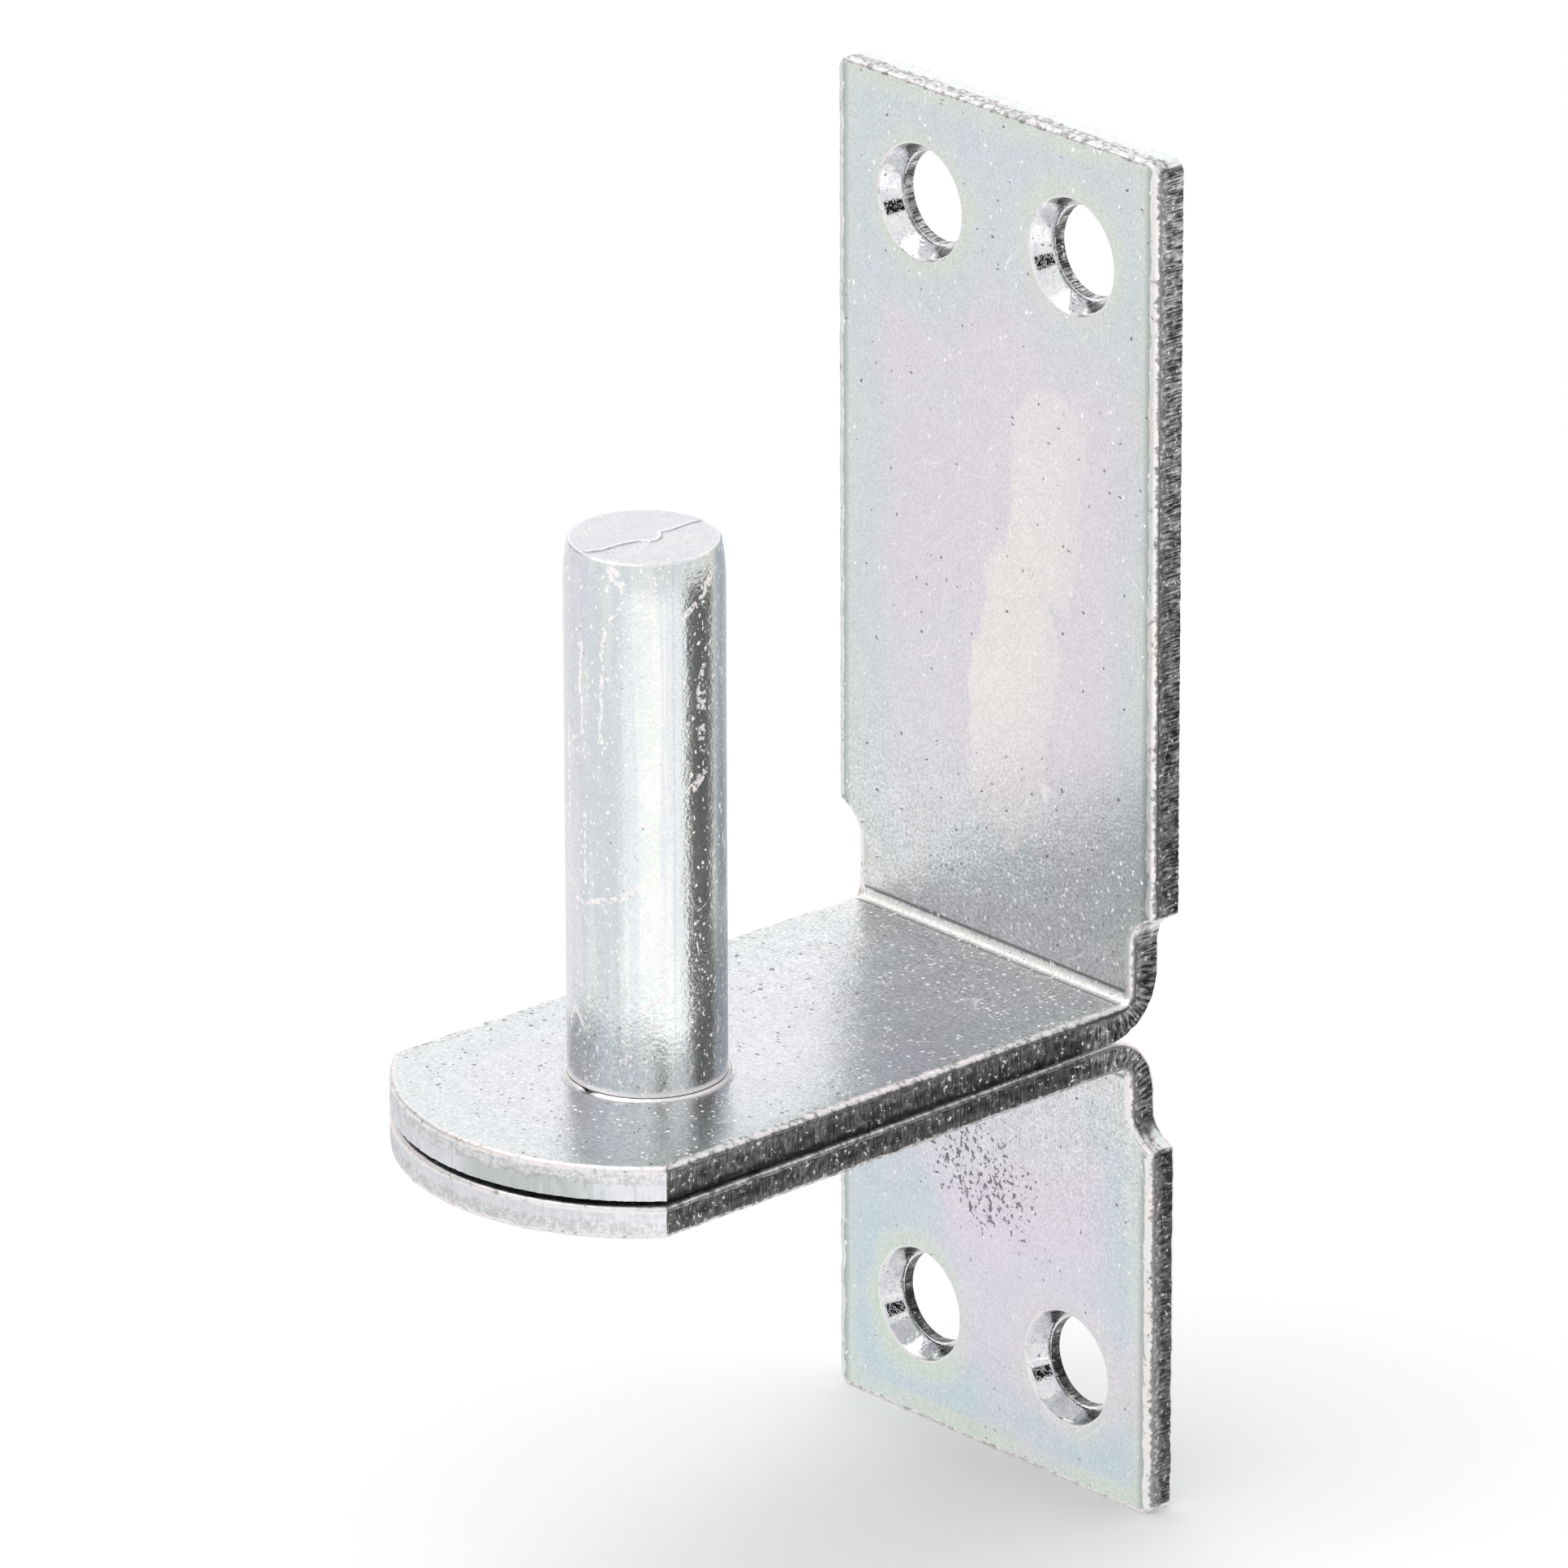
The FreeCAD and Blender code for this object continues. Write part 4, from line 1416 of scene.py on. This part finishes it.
def sheared_end(groups):
    """The end of the bar as the shear left it, plated over, with painted shade in a line at the foot of its
    step and a painted highlight on its brow.
    """
    made, graph, place = new_material("sheared bar end")
    cloud = graph.noise(place, 170.0, 4.0, 0.6)
    glint_flecks, dots = specks(graph, groups, place, 1300.0, 0.25, 0.06)
    along = graph.mark("shear") + (graph.noise(place, 1400.0) - 0.5) * 0.16
    # Painted shade at the foot of the step, painted highlight on its brow
    painted_foot_line = graph.step(abs(along + 0.06), 0.08, 0.02)
    painted_brow_highlight = graph.step(abs(along - 0.2), 0.3, 0.05)
    tint = graph.blend(graph.step(cloud, 0.4, 0.64), (0.655, 0.665, 0.7), (0.71, 0.705, 0.725))
    tint = graph.coats(
        graph.shade(tint, grain(graph, groups, place, 0.5)[1]),
        (painted_brow_highlight, 0.6, grey(0.9)),
        (painted_foot_line, 0.45, (0.2, 0.21, 0.21)),
        # Painted glints: the bright flecks
        (glint_flecks, 0.6, (0.92, 0.91, 0.9)),
        (dots, 0.6, grey(0.25)),
    )
    relief = graph.noise(place, 500.0, 4.0, 0.6)
    return finished(made, graph, tint, 1.0, 0.28 + cloud * 0.12, relief, 0.25, 0.0002)


# Stage: floor, cards, lamps, world and camera, in metres
floor_reach = 12.0
floor_fade = (0.1, 0.32)
mirror_fade = (0.0, 0.1)
dark_card_height = 0.04
white_card_height = 0.001
camera_place = Vector((1.0317, -0.9617, 0.5548))
camera_azimuth = math.radians(47.97)
camera_elevation = math.radians(21.48)
camera_roll = math.radians(-0.17)
photo_width = 1932
focal_pixels = 18621
sensor_width = 36.0


def flat_piece(name, corners):
    """One flat face between its corners."""
    mesh = bpy.data.meshes.new(name)
    mesh.from_pydata(corners, [], [range(len(corners))])
    return linked(bpy.data.objects.new(name, mesh))


def square(name, centre, facing, width, height):
    """A flat card about a centre, turned to face a point."""
    back = (Vector(facing) - Vector(centre)).normalized()
    right = Vector((0, 0, 1)).cross(back)
    right = right.normalized() if right.length > touching else Vector((1, 0, 0))
    up = back.cross(right)
    corners = [(width / 2 * x, height / 2 * y) for x, y in ((-1, -1), (1, -1), (1, 1), (-1, 1))]
    return flat_piece(name, [Vector(centre) + right * x + up * y for x, y in corners])


def floor_finish():
    """Pale floor that keeps a light shadow near the object and goes to plain white farther out."""
    made, graph, place = new_material("pale floor")
    shader = made.node_tree.nodes["Principled BSDF"]
    for name, value in (("Base Color", grey(0.93)), ("Roughness", 1.0), ("Specular IOR Level", 0.0)):
        graph.feed(shader.inputs[name], value)
    far = graph.length(place)
    kinds = ("Is Camera Ray", "Is Glossy Ray", "Is Transmission Ray")
    looking, mirroring, passing = graph.node("ShaderNodeLightPath", kinds)
    seen = looking * graph.step(far, *floor_fade)
    share = graph.most(seen, mirroring * graph.step(far, *mirror_fade), passing)
    white = graph.node("ShaderNodeEmission", "Emission", {"Color": grey(1.0), "Strength": 1.0})
    mixed = {0: share, 1: Value(graph, shader.outputs["BSDF"]), 2: white}
    surface = made.node_tree.nodes["Material Output"].inputs["Surface"]
    graph.feed(surface, graph.node("ShaderNodeMixShader", "Shader", mixed))
    return made


def show_in_reflections(made, level):
    """Makes a studio card of one tone out of a flat piece, seen only in reflections."""
    finish = bpy.data.materials.new(made.name + " tone")
    finish.use_nodes = True
    graph = Graph(finish.node_tree)
    glow = graph.node("ShaderNodeEmission", "Emission", {"Color": grey(level), "Strength": 1.0})
    graph.feed(finish.node_tree.nodes["Material Output"].inputs["Surface"], glow)
    made.data.materials.append(finish)
    made.visible_camera = False
    made.visible_diffuse = False
    made.visible_shadow = False


def build_stage():
    """The floor, and the cards that the metal mirrors: centre, faced point, width, height and tone."""
    floor_level = cad_low[2]
    low = floor_level + dark_card_height
    floor = square("floor", (0, 0, floor_level), (0, 0, 1), 2 * floor_reach, 2 * floor_reach)
    floor.data.materials.append(floor_finish())
    cards = (
        ("dark card", (0.1, 0.04, low), (0, -0.05, low), 0.115, 0.08, 0.16),
        ("dark panel", (0.4, 0.436, 0.24), (0, -0.05, 0), 0.63, 0.34, 0.05),
        ("grey card", (-0.88, -0.46, 0.36), (0, -0.03, 0), 1.3, 0.6, 0.62),
        ("lens card", (1.392, -0.587, 0.518), (0, 0, 0), 0.36, 0.66, 0.01),
    )
    for name, centre, facing, width, height, level in cards:
        show_in_reflections(square(name, centre, facing, width, height), level)
    on_floor = [(0.035, -0.17), (0.1, -0.42), (0.42, -0.25), (0.36, 0.05), (0.125, -0.01)]
    white_card = flat_piece("white card", [(x, y, floor_level + white_card_height) for x, y in on_floor])
    show_in_reflections(white_card, 1.25)


def soft_box(name, place, size, energy):
    """A square lamp turned to the object."""
    data = bpy.data.lights.new(name, "AREA")
    data.shape = "SQUARE"
    data.size = size
    data.energy = energy
    lamp = bpy.data.objects.new(name, data)
    lamp.location = place
    lamp.rotation_euler = (-lamp.location).to_track_quat("-Z", "Y").to_euler()
    linked(lamp)


def build_lamps():
    soft_box("high soft box", (-0.5, -0.55, 1.7), 1.1, 7.0)
    soft_box("back soft box", (-1.04, 0.94, 0.62), 1.2, 0.9)


def build_world():
    world = bpy.data.worlds.new("white studio")
    world.use_nodes = True
    bpy.context.scene.world = world
    ground = world.node_tree.nodes["Background"]
    ground.inputs["Color"].default_value = (1, 1, 1, 1)
    ground.inputs["Strength"].default_value = 1.0


def build_camera():
    """The photo's camera, from its place and its turns."""
    sine = math.sin(camera_azimuth)
    cosine = math.cos(camera_azimuth)
    flat = math.cos(camera_elevation)
    level = Vector((cosine, sine, 0))
    back = Vector((sine * flat, -cosine * flat, math.sin(camera_elevation)))
    right = level * math.cos(camera_roll) + back.cross(level) * math.sin(camera_roll)
    data = bpy.data.cameras.new("photo camera")
    data.sensor_width = sensor_width
    data.lens = sensor_width * focal_pixels / photo_width
    camera = bpy.data.objects.new("photo camera", data)
    turn = Matrix((right, back.cross(right), back)).transposed().to_4x4()
    camera.matrix_world = Matrix.Translation(camera_place) @ turn
    bpy.context.scene.camera = linked(camera)


def dress():
    """The visible pieces, each in place of its solid."""
    groups = {
        "tint": plating_tint_group(),
        "specks": specks_group(),
        "pits": pits_group(),
        "scratches": scratches_group(),
        "drawn scratch": drawn_scratch_group(),
        "grain": grain_group(),
        "patch": patch_group(),
    }
    sheet_finishes = [plated_skin(groups), rolled_rim(), sheared_wall(), countersink_cone(groups)]
    pin_finishes = [turned_bar(groups), sheared_end(groups)]
    pieces = build_plates(sheet_finishes) + [build_pin(pin_finishes)]
    nodes = ("upper_plate", "lower_plate", "hinge_pin")
    slots = ("plated_sheet", "plated_sheet", "plated_bar")
    for piece, node, slot in zip(pieces, nodes, slots):
        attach(piece, "root")
        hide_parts(node)


bpy.context.scene.view_settings.view_transform = "Standard"
dress()
build_stage()
build_lamps()
build_world()
build_camera()
